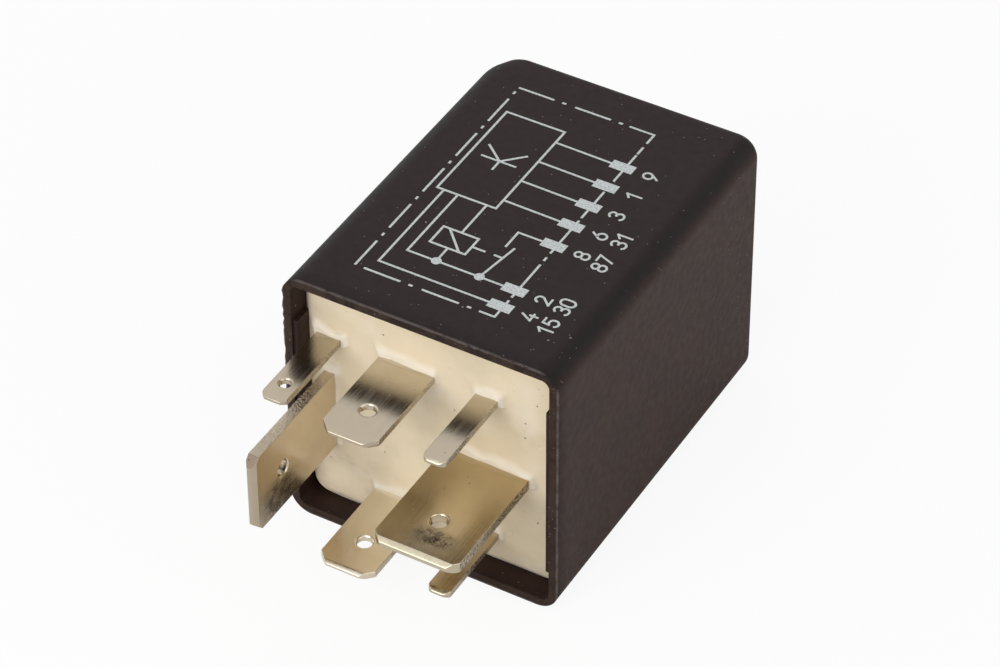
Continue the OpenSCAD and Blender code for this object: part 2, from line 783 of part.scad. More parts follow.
// Moulded body with a pin-one notch, and eight bent legs
module control_chip() {
    at = on_board(chip_place);
    low = board_top + chip_lift;
    color([0.13, 0.13, 0.14]) from_rim() {
        difference() {
            bar_y(at[0], at[1] - chip_l / 2, low + chip_h / 2, chip_w, chip_l, chip_h);
            translate([at[0], at[1] - chip_l / 2, low + chip_h - 0.4]) cylinder(d = 1.6, h = cut);
        }
        for (p = chip_legs()) chip_leg(p, sign(p[0] - at[0]), low + chip_h / 2);
    }
}

module chip_leg(p, side, z) {
    shoulder = chip_row / 2 - chip_w / 2 + chip_leg_t;
    translate([p[0] - side * shoulder / 2 - shoulder / 2, p[1] - chip_leg_w / 2, z])
        cube([shoulder, chip_leg_w, chip_leg_t]);
    translate([p[0] - chip_leg_t / 2, p[1] - chip_leg_w / 2, board_z - pin_out])
        cube([chip_leg_t, chip_leg_w, z + chip_leg_t - board_z + pin_out]);
}

// Two bent leads of a part that lies along X on the board, from height z down through it
module bent_leads(l, span, z) {
    for (side = [-1, 1]) {
        translate([side > 0 ? l / 2 : -span / 2, 0, z]) rotate([0, 90, 0])
            cylinder(d = lead_d, h = (span - l) / 2);
        translate([side * span / 2, 0, z]) sphere(d = lead_d);
        translate([side * span / 2, 0, board_z - pin_out])
            cylinder(d = lead_d, h = z - board_z + pin_out);
    }
}

// Puts a part drawn along X at its place on the board
module at_place(place) {
    translate([place[0], base_back + place[1], 0]) rotate([0, 0, 90 * place[2]]) children();
}

module resistors() {
    z = board_top + resistor_d / 2;
    color([0.78, 0.66, 0.48]) from_rim()
        for (p = resistor_places) at_place(p) {
            rod_x(-resistor_l / 2, 0, z, resistor_d * 0.86, resistor_l);
            for (x = [-resistor_l / 2, resistor_l / 2 - 1.4]) rod_x(x, 0, z, resistor_d, 1.4);
            bent_leads(resistor_l, resistor_span, z);
        }
}

module diodes() {
    z = board_top + diode_d / 2;
    color([0.12, 0.12, 0.12]) from_rim()
        for (p = diode_places) at_place(p) {
            rod_x(-diode_l / 2, 0, z, diode_d, diode_l);
            bent_leads(diode_l, diode_span, z);
        }
}

// Can that lies under the far end of the board, with a crimp groove near its seal
module electrolytic_capacitor() {
    z = board_z - 0.2 - can_d / 2;
    left = can_x - can_l / 2;
    color([0.22, 0.26, 0.42]) from_rim() {
        difference() {
            rod_x(left, parts_y, z, can_d, can_l);
            translate([left + 1.2, parts_y, z]) rotate([0, 90, 0])
                rotate_extrude() translate([can_d / 2, 0]) circle(r = 0.25, $fn = 16);
        }
        for (p = can_leads) {
            rod_x(p[0], p[1], z, lead_d, left - p[0]);
            translate([p[0], p[1], z]) sphere(d = lead_d);
            translate([p[0], p[1], z]) cylinder(d = lead_d, h = board_top + pin_out - z);
        }
    }
}

module film_capacitor() {
    color([0.62, 0.16, 0.12]) from_rim() {
        bar_y(film_x, parts_y - film_w / 2, board_z - film_h / 2, film_l, film_w, film_h);
        for (p = film_leads)
            translate([p[0], p[1], board_z - cut]) cylinder(d = lead_d, h = board_t + pin_out + cut);
    }
}

// Half-round moulded body that hangs from its three leads
module drive_transistor() {
    low = board_z - transistor_drop - transistor_h;
    flat = transistor_w / 2 - transistor_t;
    color([0.12, 0.12, 0.12]) from_rim() {
        translate([transistor_x, parts_y, low]) linear_extrude(transistor_h) intersection() {
            circle(d = transistor_w);
            translate([-transistor_w / 2, flat]) square([transistor_w, transistor_t]);
        }
        for (p = transistor_leads)
            translate([p[0], p[1], low + transistor_h - cut])
                cylinder(d = lead_d * 0.75, h = transistor_drop + board_t + pin_out + cut);
    }
}

// Cone of solder round a lead, on the upper or the lower side of the board
module solder(p, d, up) {
    translate([p[0], p[1], up ? board_top : board_z]) mirror([0, 0, up ? 0 : 1]) difference() {
        cylinder(d1 = d + 2 * solder_foot, d2 = d + 2 * solder_top, h = solder_h);
        translate([0, 0, -cut]) cylinder(d = d, h = solder_h + 2 * cut);
    }
}

// Block of solder round a flat strip that comes up through the board
module strip_solder(x, y, w, l) {
    rim = solder_rim;
    translate([x - w / 2, y, board_top]) difference() {
        translate([-rim, -rim, 0]) cube([w + 2 * rim, l + 2 * rim, solder_h]);
        translate([0, 0, -cut]) cube([w, l, solder_h + 2 * cut]);
    }
}

module solder_joints() {
    color([0.80, 0.80, 0.78]) from_rim() {
        for (p = top_part_leads) solder(p, lead_d, false);
        for (p = chip_legs()) solder(p, chip_leg_w * 1.2, false);
        for (p = concat(can_leads, film_leads)) solder(p, lead_d, true);
        for (p = transistor_leads) solder(p, lead_d * 0.75, true);
        for (p = coil_pin_places) solder(p, coil_pin_d, true);
        for (p = thin_risers) strip_solder(p[0], p[1], riser_w, thin_t);
        strip_solder(col(-1), power_riser_y, power_t, riser_w);
    }
}

cap();
sealing_compound();
base_plate();
blade_top_left();
blade_top_middle();
blade_top_right();
power_blade_left();
power_blade_right();
blade_bottom_middle();
blade_bottom_right();
yoke();
core();
bobbin();
coil_winding();
coil_pins();
armature();
contact_spring();
contact_spring_rivets();
moving_contact();
hinge_spring();
hinge_spring_rivets();
make_contact();
break_contact();
circuit_board();
control_chip();
resistors();
diodes();
electrolytic_capacitor();
film_capacitor();
drive_transistor();
solder_joints();
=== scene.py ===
"""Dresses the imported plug-in relay: finishes, printed diagram, poured seal, studio and camera.

Lengths in the classes are in millimetres and become metres where a mesh is made.
"""

import sys
import logging
import math
from dataclasses import dataclass, field
from enum import Enum
from typing import Callable, Iterable, Sequence, Union

import bmesh
import bpy
from mathutils import Matrix, Vector, noise


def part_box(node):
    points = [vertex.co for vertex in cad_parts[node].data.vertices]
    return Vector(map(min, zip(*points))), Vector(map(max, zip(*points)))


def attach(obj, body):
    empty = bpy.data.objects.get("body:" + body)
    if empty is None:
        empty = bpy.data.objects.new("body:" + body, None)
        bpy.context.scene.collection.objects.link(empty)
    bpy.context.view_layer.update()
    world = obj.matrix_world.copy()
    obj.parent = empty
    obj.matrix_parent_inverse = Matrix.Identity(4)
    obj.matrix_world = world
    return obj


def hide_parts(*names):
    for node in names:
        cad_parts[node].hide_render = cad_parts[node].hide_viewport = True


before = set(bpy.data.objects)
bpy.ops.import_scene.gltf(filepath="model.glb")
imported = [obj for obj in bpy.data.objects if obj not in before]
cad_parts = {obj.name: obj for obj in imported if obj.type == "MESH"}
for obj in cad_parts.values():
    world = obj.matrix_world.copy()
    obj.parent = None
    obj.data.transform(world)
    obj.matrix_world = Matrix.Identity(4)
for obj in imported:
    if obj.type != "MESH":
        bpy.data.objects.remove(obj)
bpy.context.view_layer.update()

LOG = logging.getLogger("relay")
MM = 0.001
# Corners this near to each other, in millimetres, count as one.
WELD_REACH = 0.0005
# Below this angle, in degrees, two faces are one; from the others on, an edge is sharp.
FLAT_ANGLE = 0.3
SHARP_ANGLE = 28.0
SEAL_SHARP_ANGLE = 60.0
ROUNDING_FACES = 2
Colour = tuple[float, float, float]
Point2 = tuple[float, float]


# ------------------------------------------------------------------ node trees


class Link:
    """One output socket of a node tree, usable in Python expressions."""

    def __init__(self, sheet: "Sheet", socket: bpy.types.NodeSocket) -> None:
        """Keeps the socket and the sheet that it belongs to."""
        self.sheet, self.socket = sheet, socket

    def sibling(self, key: Union[int, str]) -> "Link":
        """Another output of the same node, by its name or number."""
        return Link(self.sheet, self.socket.node.outputs[key])

    def _math(self, operation: str, *values: "Number") -> "Link":
        """Adds a Math node on those values, in order."""
        return self.sheet.node("ShaderNodeMath", {"operation": operation}, dict(enumerate(values)))

    def __add__(self, other: "Number") -> "Link":
        """self + other."""
        return self._math("ADD", self, other)

    def __sub__(self, other: "Number") -> "Link":
        """self - other."""
        return self._math("SUBTRACT", self, other)

    def __rsub__(self, other: "Number") -> "Link":
        """other - self."""
        return self._math("SUBTRACT", other, self)

    def __mul__(self, other: "Number") -> "Link":
        """self * other."""
        return self._math("MULTIPLY", self, other)

    def __truediv__(self, other: "Number") -> "Link":
        """self / other."""
        return self._math("DIVIDE", self, other)

    def __abs__(self) -> "Link":
        """Absolute value."""
        return self._math("ABSOLUTE", self)

    __radd__ = __add__
    __rmul__ = __mul__

    def highest(self, other: "Number") -> "Link":
        """The larger of self and other."""
        return self._math("MAXIMUM", self, other)

    def fade(self, start: float, end: float) -> "Link":
        """Smooth step of this value, from 0 at start to 1 at end."""
        return self.sheet.node("ShaderNodeMapRange", {"interpolation_type": "SMOOTHSTEP"},
                               {"Value": self, "From Min": start, "From Max": end})


Number = Union[Link, float]


class Sheet:
    """A node tree that is written as expressions."""

    def __init__(self, tree: bpy.types.NodeTree) -> None:
        """Keeps the tree."""
        self.tree = tree

    def node(self, kind: str, settings: dict | None = None, sockets: dict | None = None,
             out: Union[int, str] = 0) -> Link:
        """Makes any node.

        Args:
            kind: the node's type.
            settings: its properties, set before its sockets.
            sockets: values or links, by the input's name or number.
            out: the name or number of the output that is returned.

        Returns:
            The output.
        """
        made = self.tree.nodes.new(kind)
        for key, value in (settings or {}).items():
            setattr(made, key, value)
        for key, value in (sockets or {}).items():
            self.feed(self._input(made, key), value)
        return Link(self, made.outputs[out])

    @staticmethod
    def _input(made: bpy.types.Node, key: Union[int, str]) -> bpy.types.NodeSocket:
        """Finds an enabled input by name, or any input by number."""
        if isinstance(key, int):
            return made.inputs[key]
        return next(s for s in made.inputs if s.name == key and s.enabled)

    def feed(self, socket: bpy.types.NodeSocket, value: object) -> None:
        """Links or sets one input.

        Args:
            socket: the input.
            value: a Link, a number, a colour, a vector, or a data-block.
        """
        if isinstance(value, Link):
            self.tree.links.new(value.socket, socket)
        elif socket.type == "RGBA" and len(value) == 3:
            socket.default_value = (*value, 1.0)
        else:
            socket.default_value = value


class Surface(Sheet):
    """Material whose tree ends in one Principled BSDF."""

    def __init__(self, name: str) -> None:
        """Makes an empty material of that name."""
        self.material = bpy.data.materials.new(name)
        self.material.use_nodes = True
        super().__init__(self.material.node_tree)
        self.tree.nodes.clear()
        place = self.node("ShaderNodeTexCoord", out="Object")
        self.at = self.vector("MULTIPLY", place, (1 / MM,) * 3)

    def vector(self, operation: str, first: object, second: object) -> Link:
        """A Vector Math node on two vectors."""
        return self.node("ShaderNodeVectorMath", {"operation": operation}, {0: first, 1: second})

    def axes(self) -> tuple[Link, Link, Link]:
        """The place on the part in millimetres, as X, Y and Z."""
        split = self.node("ShaderNodeSeparateXYZ", sockets={0: self.at})
        return tuple(split.sibling(k) for k in range(3))

    def cloud(self, scale: float, detail: float = 3.0,
              stretch: Sequence[float] = (1, 1, 1)) -> Link:
        """Soft noise about 0.5, with that many lumps to a millimetre and levels of detail."""
        at = self.vector("MULTIPLY", self.at, tuple(stretch))
        return self.node("ShaderNodeTexNoise", None,
                         {"Vector": at, "Scale": scale, "Detail": detail})

    def attribute(self, name: str, out: str = "Fac") -> Link:
        """One of the mesh's own attributes."""
        return self.node("ShaderNodeAttribute", {"attribute_name": name}, out=out)

    def specks(self, scale: float, size: float, share: float) -> Link:
        """Scattered round specks.

        Args:
            scale: how many cells there are to a millimetre.
            size: a speck's radius as a share of its cell.
            share: how many of the cells hold a speck, from 0 to 1.

        Returns:
            1 in a speck and 0 outside.
        """
        cells = self.node("ShaderNodeTexVoronoi", None, {"Vector": self.at, "Scale": scale})
        chance = self.node("ShaderNodeSeparateColor", sockets={0: cells.sibling("Color")})
        return (1 - cells.fade(size * 0.6, size)) * chance.fade(1 - share, 1 - share * 0.9)

    def mix(self, factor: Number, first: object, second: object) -> Link:
        """Mixes two colours by a factor from 0 to 1."""
        return self.node("ShaderNodeMix", {"data_type": "RGBA"},
                         {"Factor": factor, "A": first, "B": second}, out="Result")

    def bump(self, height: Link, depth: float, under: Link | None = None) -> Link:
        """Relief from a height.

        Args:
            height: the height, from 0 to 1.
            depth: how many millimetres a height of 1 stands for.
            under: another relief that this one lies on.

        Returns:
            The normal.
        """
        sockets = {"Height": height, "Strength": 1.0, "Distance": depth * MM}
        if under is not None:
            sockets["Normal"] = under
        return self.node("ShaderNodeBump", None, sockets)

    def close(self, **sockets: object) -> bpy.types.Material:
        """Ends the tree.

        Args:
            sockets: the BSDF's inputs, with _ for a space in each name.

        Returns:
            The material.
        """
        named = {key.replace("_", " "): value for key, value in sockets.items()}
        shader = self.node("ShaderNodeBsdfPrincipled", None, named)
        end = self.tree.nodes.new("ShaderNodeOutputMaterial")
        self.feed(end.inputs["Surface"], shader)
        return self.material


# ------------------------------------------------------------------ finishes


@dataclass(frozen=True)
class CapPlastic:
    """Black moulded plastic with a fine grain, dust specks and a broken rim edge; painted light
    makes it lighter towards the top, a painted dark reflection runs along the long upper edges,
    painted shade darkens the mouth, and a painted highlight lies with dust along the rim's outer
    edge.
    """

    colour: Colour = (0.0168, 0.0085, 0.0088)
    # Painted light: the lighter, warmer colour towards the top face.
    film: Colour = (0.036, 0.017, 0.011)
    # Painted dark reflection along the rounded long edges of the top.
    edge_dark_reflection: Colour = (0.0045, 0.003, 0.003)
    rim_colour: Colour = (0.034, 0.019, 0.012)
    # Light dust and a painted highlight along the rim's outer edge.
    rim_dust_and_highlight: Colour = (0.15, 0.125, 0.12)
    dust: Colour = (0.36, 0.33, 0.31)
    roughness: float = 0.48
    gloss: float = 0.19
    edge: float = 2.3

    def make(self, low: Vector, high: Vector, recess: float) -> bpy.types.Material:
        """Makes the material.

        Args:
            low: the cap's lowest corner, in millimetres.
            high: its highest corner.
            recess: how far the seal lies behind the rim.

        Returns:
            The material.
        """
        s = Surface("cap_plastic")
        x, y, z = s.axes()
        rim = low.y
        tone = s.cloud(0.25).fade(0.3, 0.7)
        # Painted light: the top face and the top of the sides are lighter and warmer.
        printed = (z - high.z).fade(-self.edge, -0.1)
        colour = s.mix(printed, self.film, self.colour)
        colour = s.mix(tone * 0.3, colour, tuple(c * 0.72 for c in self.colour))
        # Painted dark reflection along the rounded edges between the top and the sides.
        near_side = (abs(x) - high.x).fade(-self.edge - 0.4, -0.7)
        near_top = (z - high.z).fade(-self.edge + 0.2, -0.3)
        colour = s.mix(near_side * near_top * 0.9, colour, self.edge_dark_reflection)
        mouth = 1 - (y - rim).fade(0.1, recess)
        # Painted shade: darker over the first millimetres behind the rim, back to the seal.
        colour = s.mix(mouth * 0.45, colour, tuple(c * 0.45 for c in self.colour))
        front = 1 - (y - rim).fade(0.02, 0.12)
        edge = front * s.cloud(0.8, 6.0).fade(0.38, 0.62)
        colour = s.mix(edge * 0.8, colour, self.rim_colour)
        # Light dust and a painted highlight along the rim's outer edge.
        outside = (abs(x) - high.x).highest(z - high.z).highest(low.z - z).fade(-0.26, -0.1)
        worn = outside * (1 - (y - rim).fade(0.1, 0.3)) * s.cloud(1.3, 4.0).fade(0.2, 0.55)
        colour = s.mix(worn * 0.5, colour, self.rim_dust_and_highlight)
        fine = s.specks(1.5, 0.11, 0.3)
        coarse = s.specks(0.42, 0.06, 0.35)
        inner = s.specks(2.4, 0.16, 0.25) * mouth
        colour = s.mix(fine.highest(coarse).highest(inner * 0.6) * 0.55, colour, self.dust)
        grain = s.bump(s.cloud(11.0, 2.0), 0.006)
        relief = s.bump(edge, 0.05, grain)
        rough = self.roughness + s.cloud(1.1).fade(0.3, 0.7) * 0.08 + mouth * 0.1
        return s.close(Base_Color=colour, Roughness=rough, Specular_IOR_Level=self.gloss,
                       Normal=relief)


@dataclass(frozen=True)
class CastCompound:
    """Poured cream compound with stains, pits and dark specks; painted highlights make it paler
    where it climbs and bluish grey where it falls away.
    """

    colour: Colour = (0.72, 0.61, 0.44)
    # Random paler tone, and the painted highlight where the face stands out.
    pale: Colour = (0.80, 0.74, 0.65)
    stain: Colour = (0.52, 0.44, 0.30)
    # Painted highlight where the face falls back.
    edge: Colour = (0.66, 0.70, 0.74)
    dirt: Colour = (0.10, 0.065, 0.045)
    roughness: float = 0.34

    def make(self) -> bpy.types.Material:
        """Makes the material, which reads the seal's own lift and fall attributes for its painted
        highlights.
        """
        s = Surface("cast_compound")
        lift, fall = s.attribute("lift"), s.attribute("fall")
        warm = s.cloud(0.11, 4.0).fade(0.42, 0.68)
        colour = s.mix(warm * 0.55, self.colour, self.stain)
        light = s.cloud(0.2, 2.0).fade(0.5, 0.75)
        colour = s.mix(light * 0.35, colour, self.pale)
        # Painted highlight: paler where the face stands out, at the collars, ledges and upper
        # walls.
        colour = s.mix(lift.fade(0.1, 1.0) * 0.6, colour, self.pale)
        # Painted highlight: bluish grey where the face falls back at the lower and left edges.
        colour = s.mix(fall.fade(0.1, 0.9) * 0.7, colour, self.edge)
        x, _, z = s.axes()
        corner = (1 - (x + 9.5).fade(0.0, 5.0)) * (1 - (z - 6.0).fade(0.0, 5.0))
        smudge = s.cloud(0.45, 5.0, (1, 1, 1.5)).fade(0.48, 0.75) * corner
        colour = s.mix(smudge * 0.4, colour, tuple(c * 0.6 for c in self.stain))
        specks = s.specks(0.75, 0.10, 0.2).highest(s.specks(1.9, 0.1, 0.06))
        colour = s.mix(specks * 0.85, colour, self.dirt)
        relief = s.bump(s.cloud(1.4, 4.0), 0.03)
        relief = s.bump(1 - specks, 0.08, relief)
        rough = self.roughness + s.cloud(0.7).fade(0.35, 0.7) * 0.14
        return s.close(Base_Color=colour, Roughness=rough, Normal=relief)


@dataclass(frozen=True)
class PlatedBlade:
    """Tin-plated brass strip: rolled streaks, sheared sides, spots and a worn patch.

    droop leans the upper face's shading a little towards the tip, as a strip that isn't quite flat
    does, and cut paints shade on the face of the upper cut corner, by which way that face points.
    """

    name: str
    tint: Colour = (0.56, 0.52, 0.45)
    tip_tint: Colour = (0.50, 0.43, 0.33)
    dark: Colour = (0.10, 0.075, 0.055)
    roughness: float = 0.16
    patch: float = 0.0
    patch_back: float = 4.0
    patch_aside: float = 0.0
    patch_reach: tuple[float, float] = (2.8, 1.5)
    droop: float = 0.0
    spots: float = 0.3
    shear: float = 0.3
    # Painted shade on the upper cut corner's face.
    cut: float = 0.0
    grain: float = 0.002

    def make(self, low: Vector, high: Vector) -> bpy.types.Material:
        """Makes the material.

        Args:
            low: lowest corner of the blade's part in front of the seal, in metres.
            high: its highest corner.

        Returns:
            The material.
        """
        s = Surface(self.name)
        x, y, z = s.axes()
        tip = low.y / MM
        middle, half = (low + high) / 2 / MM, (high - low) / 2 / MM
        along_tip = 1 - (y - tip).fade(1.5, 9.0)
        colour = s.mix(along_tip, self.tint, self.tip_tint)
        streak = s.cloud(5.0, 3.0, (1, 0.04, 1))
        tone = s.cloud(0.5, 3.0).fade(0.35, 0.7)
        colour = s.mix(tone * 0.16, colour, tuple(c * 0.7 for c in self.tint))
        flat_x = half.x > 1.0
        sideways = (abs(x - middle.x) - half.x) if flat_x else (abs(z - middle.z) - half.z)
        sheared = sideways.fade(-0.05, 0.0) * s.cloud(5.0, 4.0).fade(0.42, 0.6)
        colour = s.mix(sheared * self.shear, colour, self.dark)
        spots = s.specks(1.7, 0.14, self.spots * 0.5)
        colour = s.mix(spots * 0.55, colour, self.dark)
        worn = None
        if self.patch:
            off = ((x - middle.x) if flat_x else (z - middle.z)) - self.patch_aside
            wide, deep = self.patch_reach
            reach = ((1 - abs(off).fade(0.0, wide))
                     * (1 - abs(y - tip - self.patch_back).fade(0.0, deep)))
            dusty = s.cloud(0.9, 3.0).fade(0.25, 0.6) * 0.6 + s.cloud(5.0, 4.0).fade(0.4, 0.6) * 0.4
            worn = reach.fade(0.0, 0.8) * dusty * self.patch
            colour = s.mix(worn, colour, self.dark)
        level = s.node("ShaderNodeNewGeometry", out="Normal")
        # Painted shade: darker on faces that point up and forward, the upper cut corner.
        if self.cut:
            slope = s.vector("DOT_PRODUCT", level, (0.0, -0.707, 0.707)).sibling("Value")
            colour = s.mix(slope.fade(0.9, 0.98) * self.cut, colour, self.dark)
        rough = (self.roughness + streak.fade(0.3, 0.7) * 0.07 + sheared * self.shear * 0.5
                 + spots * 0.2)
        if worn is not None:
            rough = rough + worn * 0.2
        under = None
        if self.droop:
            leaning = s.vector("ADD", level, (0.0, -self.droop, 0.0))
            under = s.vector("NORMALIZE", leaning, (0, 0, 0))
        relief = s.bump(streak, 0.0004, under)
        relief = s.bump(s.cloud(9.0, 2.0), self.grain, relief)
        relief = s.bump(sheared + spots * 0.5, 0.02, relief)
        return s.close(Base_Color=colour, Roughness=rough, Metallic=1.0, Normal=relief)


class Grain(Enum):
    """How a plain surface is broken up: stretch of its noise on the three axes."""

    EVEN = (1.0, 1.0, 1.0)
    ROLLED_ALONG_Y = (1.0, 0.06, 1.0)
    ROLLED_ALONG_X = (0.06, 1.0, 1.0)
    TURNED = (1.0, 14.0, 1.0)


@dataclass(frozen=True)
class PlainFinish:
    """Any one-material piece inside: a tone that varies, a grain and its gloss."""

    name: str
    colour: Colour
    second: Colour
    roughness: float = 0.4
    metallic: float = 0.0
    coat: float = 0.0
    grain: Grain = Grain.EVEN
    scale: float = 1.5
    depth: float = 0.01

    def make(self) -> bpy.types.Material:
        """Makes the material."""
        s = Surface(self.name)
        tone = s.cloud(self.scale * 0.3, 4.0).fade(0.35, 0.7)
        fine = s.cloud(self.scale * 3, 3.0, self.grain.value)
        colour = s.mix(tone * 0.6 + fine * 0.25, self.colour, self.second)
        rough = self.roughness + fine.fade(0.3, 0.7) * 0.12
        relief = s.bump(fine, self.depth)
        return s.close(Base_Color=colour, Roughness=rough, Metallic=self.metallic,
                       Coat_Weight=self.coat, Normal=relief)


@dataclass(frozen=True)
class PrintInk:
    """Silver-grey pad-printed ink with the black showing through in fine specks."""

    colour: Colour = (0.62, 0.66, 0.66)
    worn: Colour = (0.22, 0.22, 0.22)

    def make(self) -> bpy.types.Material:
        """Makes the material."""
        s = Surface("print_ink")
        thin = s.cloud(6.0, 3.0).fade(0.42, 0.64)
        colour = s.mix(thin * 0.5, self.colour, self.worn)
        return s.close(Base_Color=colour, Roughness=0.55, Normal=s.bump(thin, 0.004))


@dataclass(frozen=True)
class BoardLaminate:
    """Green solder resist over a pattern of copper tracks."""

    colour: Colour = (0.02, 0.12, 0.045)
    track: Colour = (0.06, 0.24, 0.09)
    pitch: float = 1.27

    def make(self) -> bpy.types.Material:
        """Makes the material."""
        s = Surface("board_laminate")
        snapped = s.vector("SNAP", s.at, (self.pitch * 4, self.pitch, 10.0))
        lane = s.node("ShaderNodeTexWhiteNoise", {"noise_dimensions": "3D"}, {"Vector": snapped})
        across = s.node("ShaderNodeMath", {"operation": "PINGPONG"},
                        {0: s.axes()[1], 1: self.pitch / 2})
        track = across.fade(self.pitch * 0.2, self.pitch * 0.26) * lane.fade(0.4, 0.41)
        colour = s.mix(track, self.colour, self.track)
        relief = s.bump(track + s.cloud(5.0) * 0.1, 0.03)
        return s.close(Base_Color=colour, Roughness=0.3, Normal=relief)


@dataclass(frozen=True)
class BandColours:
    """Lacquer whose colour is the piece's own tint attribute."""

    def make(self) -> bpy.types.Material:
        """Makes the material."""
        s = Surface("colour_bands")
        shade = s.mix(s.cloud(2.0).fade(0.3, 0.8) * 0.25, s.attribute("tint", "Color"),
                      (0.02, 0.02, 0.02))
        return s.close(Base_Color=shade, Roughness=0.3)


# ------------------------------------------------------------------ meshes


class Sketch:
    """Collects closed flat shapes and boxes into one mesh, in millimetres."""

    def __init__(self) -> None:
        """Starts empty."""
        self.corners: list[tuple[float, float, float]] = []
        self.faces: list[list[int]] = []

    def prism(self, outline: Sequence[Point2], low: float, high: float) -> None:
        """Adds a flat shape with thickness.

        Args:
            outline: its corners, anticlockwise seen from above.
            low: height of its underside.
            high: height of its upper side.
        """
        n, base = len(outline), len(self.corners)
        self.corners += [(x, y, low) for x, y in outline] + [(x, y, high) for x, y in outline]
        self.faces.append([base + n + k for k in range(n)])
        self.faces.append([base + k for k in reversed(range(n))])
        for k in range(n):
            after = (k + 1) % n
            self.faces.append([base + k, base + after, base + n + after, base + n + k])

    def stroke(self, start: Point2, end: Point2, width: float, low: float, high: float) -> None:
        """Adds a straight line of some width, reaching half a width past its ends."""
        a, b = Vector(start), Vector(end)
        along = (b - a).normalized() * width / 2
        side = Vector((-along.y, along.x))
        a, b = a - along, b + along
        self.prism([a - side, b - side, b + side, a + side], low, high)

    def mesh(self, name: str) -> bpy.types.Mesh:
        """The mesh in metres."""
        made = bpy.data.meshes.new(name)
        made.from_pydata([[c * MM for c in corner] for corner in self.corners], [], self.faces)
        made.validate()
        return made


def linked(name: str, data: bpy.types.ID) -> bpy.types.Object:
    """New object in the scene that holds the data."""
    made = bpy.data.objects.new(name, data)
    bpy.context.scene.collection.objects.link(made)
    return made


def coat(mesh: bpy.types.Mesh, material: bpy.types.Material) -> None:
    """Makes that material the mesh's only one."""
    mesh.materials.clear()
    mesh.materials.append(material)


def place_piece(name: str, mesh: bpy.types.Mesh, material: bpy.types.Material,
                stands_for: str | None = None) -> None:
    """Puts a finished piece of the relay's fixed body in the scene.

    Args:
        name: the piece's name.
        mesh: its mesh, in the frame's place.
        material: its only material.
        stands_for: the CAD node that it replaces, if any.
    """
    coat(mesh, material)
    piece = linked(name, mesh)
    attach(piece, "relay")
    if stands_for:
        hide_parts(stands_for)
    LOG.info("%s: %d faces", name, len(mesh.polygons))


def dress(node: str, material: bpy.types.Material) -> None:
    """Gives a CAD node a material and leaves its mesh alone."""
    coat(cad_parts[node].data, material)
    LOG.info("%s: CAD solid with %s", node, material.name)


def settled(work: bpy.types.Object) -> bpy.types.Mesh:
    """Turns an object with live modifiers into a plain mesh and removes the object."""
    graph = bpy.context.evaluated_depsgraph_get()
    made = bpy.data.meshes.new_from_object(work.evaluated_get(graph), depsgraph=graph)
    bpy.data.objects.remove(work)
    return made


def fade(value: float, start: float, end: float) -> float:
    """Smooth step from 0 at start to 1 at end."""
    t = min(1.0, max(0.0, (value - start) / (end - start)))
    return t * t * (3 - 2 * t)


def box_mm(node: str) -> tuple[Vector, Vector]:
    """Lowest and highest corner of a CAD node, in millimetres."""
    low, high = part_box(node)
    return low / MM, high / MM


def exposed(node: str) -> tuple[Vector, Vector]:
    """Lowest and highest corner of a blade's part in front of the seal, in metres."""
    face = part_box("sealing_compound")[0].y
    points = [v.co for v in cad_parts[node].data.vertices if v.co.y < face]
    low, high = (Vector([pick(p[k] for p in points) for k in range(3)]) for pick in (min, max))
    return low, high


def welded(node: str) -> bmesh.types.BMesh:
    """Copy of a CAD node's mesh whose loose triangles share their corners."""
    shape = bmesh.new()
    shape.from_mesh(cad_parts[node].data)
    bmesh.ops.remove_doubles(shape, verts=shape.verts, dist=WELD_REACH * MM)
    return shape


def softened(node: str, width: float,
             reshape: Callable[[bmesh.types.BMesh], None] | None = None) -> bpy.types.Mesh:
    """Copy of a CAD node whose sharp edges are rounded over.

    Args:
        node: the CAD node.
        width: how far the rounding reaches, in millimetres.
        reshape: changes the copy before its edges are rounded.

    Returns:
        The mesh.
    """
    shape = welded(node)
    bmesh.ops.dissolve_limit(shape, angle_limit=math.radians(FLAT_ANGLE), verts=shape.verts,
                             edges=shape.edges)
    if reshape:
        reshape(shape)
    mesh = bpy.data.meshes.new(node + "_soft")
    shape.to_mesh(mesh)
    shape.free()
    mesh.shade_smooth()
    work = linked(node + "_work", mesh)
    bevel = work.modifiers.new("edges", "BEVEL")
    bevel.width, bevel.segments = width * MM, ROUNDING_FACES
    bevel.limit_method, bevel.angle_limit = "ANGLE", math.radians(SHARP_ANGLE)
    even = work.modifiers.new("flat_faces", "WEIGHTED_NORMAL")
    even.weight = 100
    return settled(work)


def islands(node: str) -> list[tuple[Vector, Vector]]:
    """Lowest and highest corner of each separate solid of a CAD node, in metres, in order."""
    shape = welded(node)
    left, boxes = set(shape.verts), []
    while left:
        todo = [left.pop()]
        low, high = todo[0].co.copy(), todo[0].co.copy()
        while todo:
            corner = todo.pop()
            low, high = Vector(map(min, low, corner.co)), Vector(map(max, high, corner.co))
            for other in (e.other_vert(corner) for e in corner.link_edges):
                if other in left:
                    left.remove(other)
                    todo.append(other)
        boxes.append((low, high))
    shape.free()
    return sorted(boxes, key=lambda box: tuple(box[0]))


# ------------------------------------------------------------------ repeating pieces


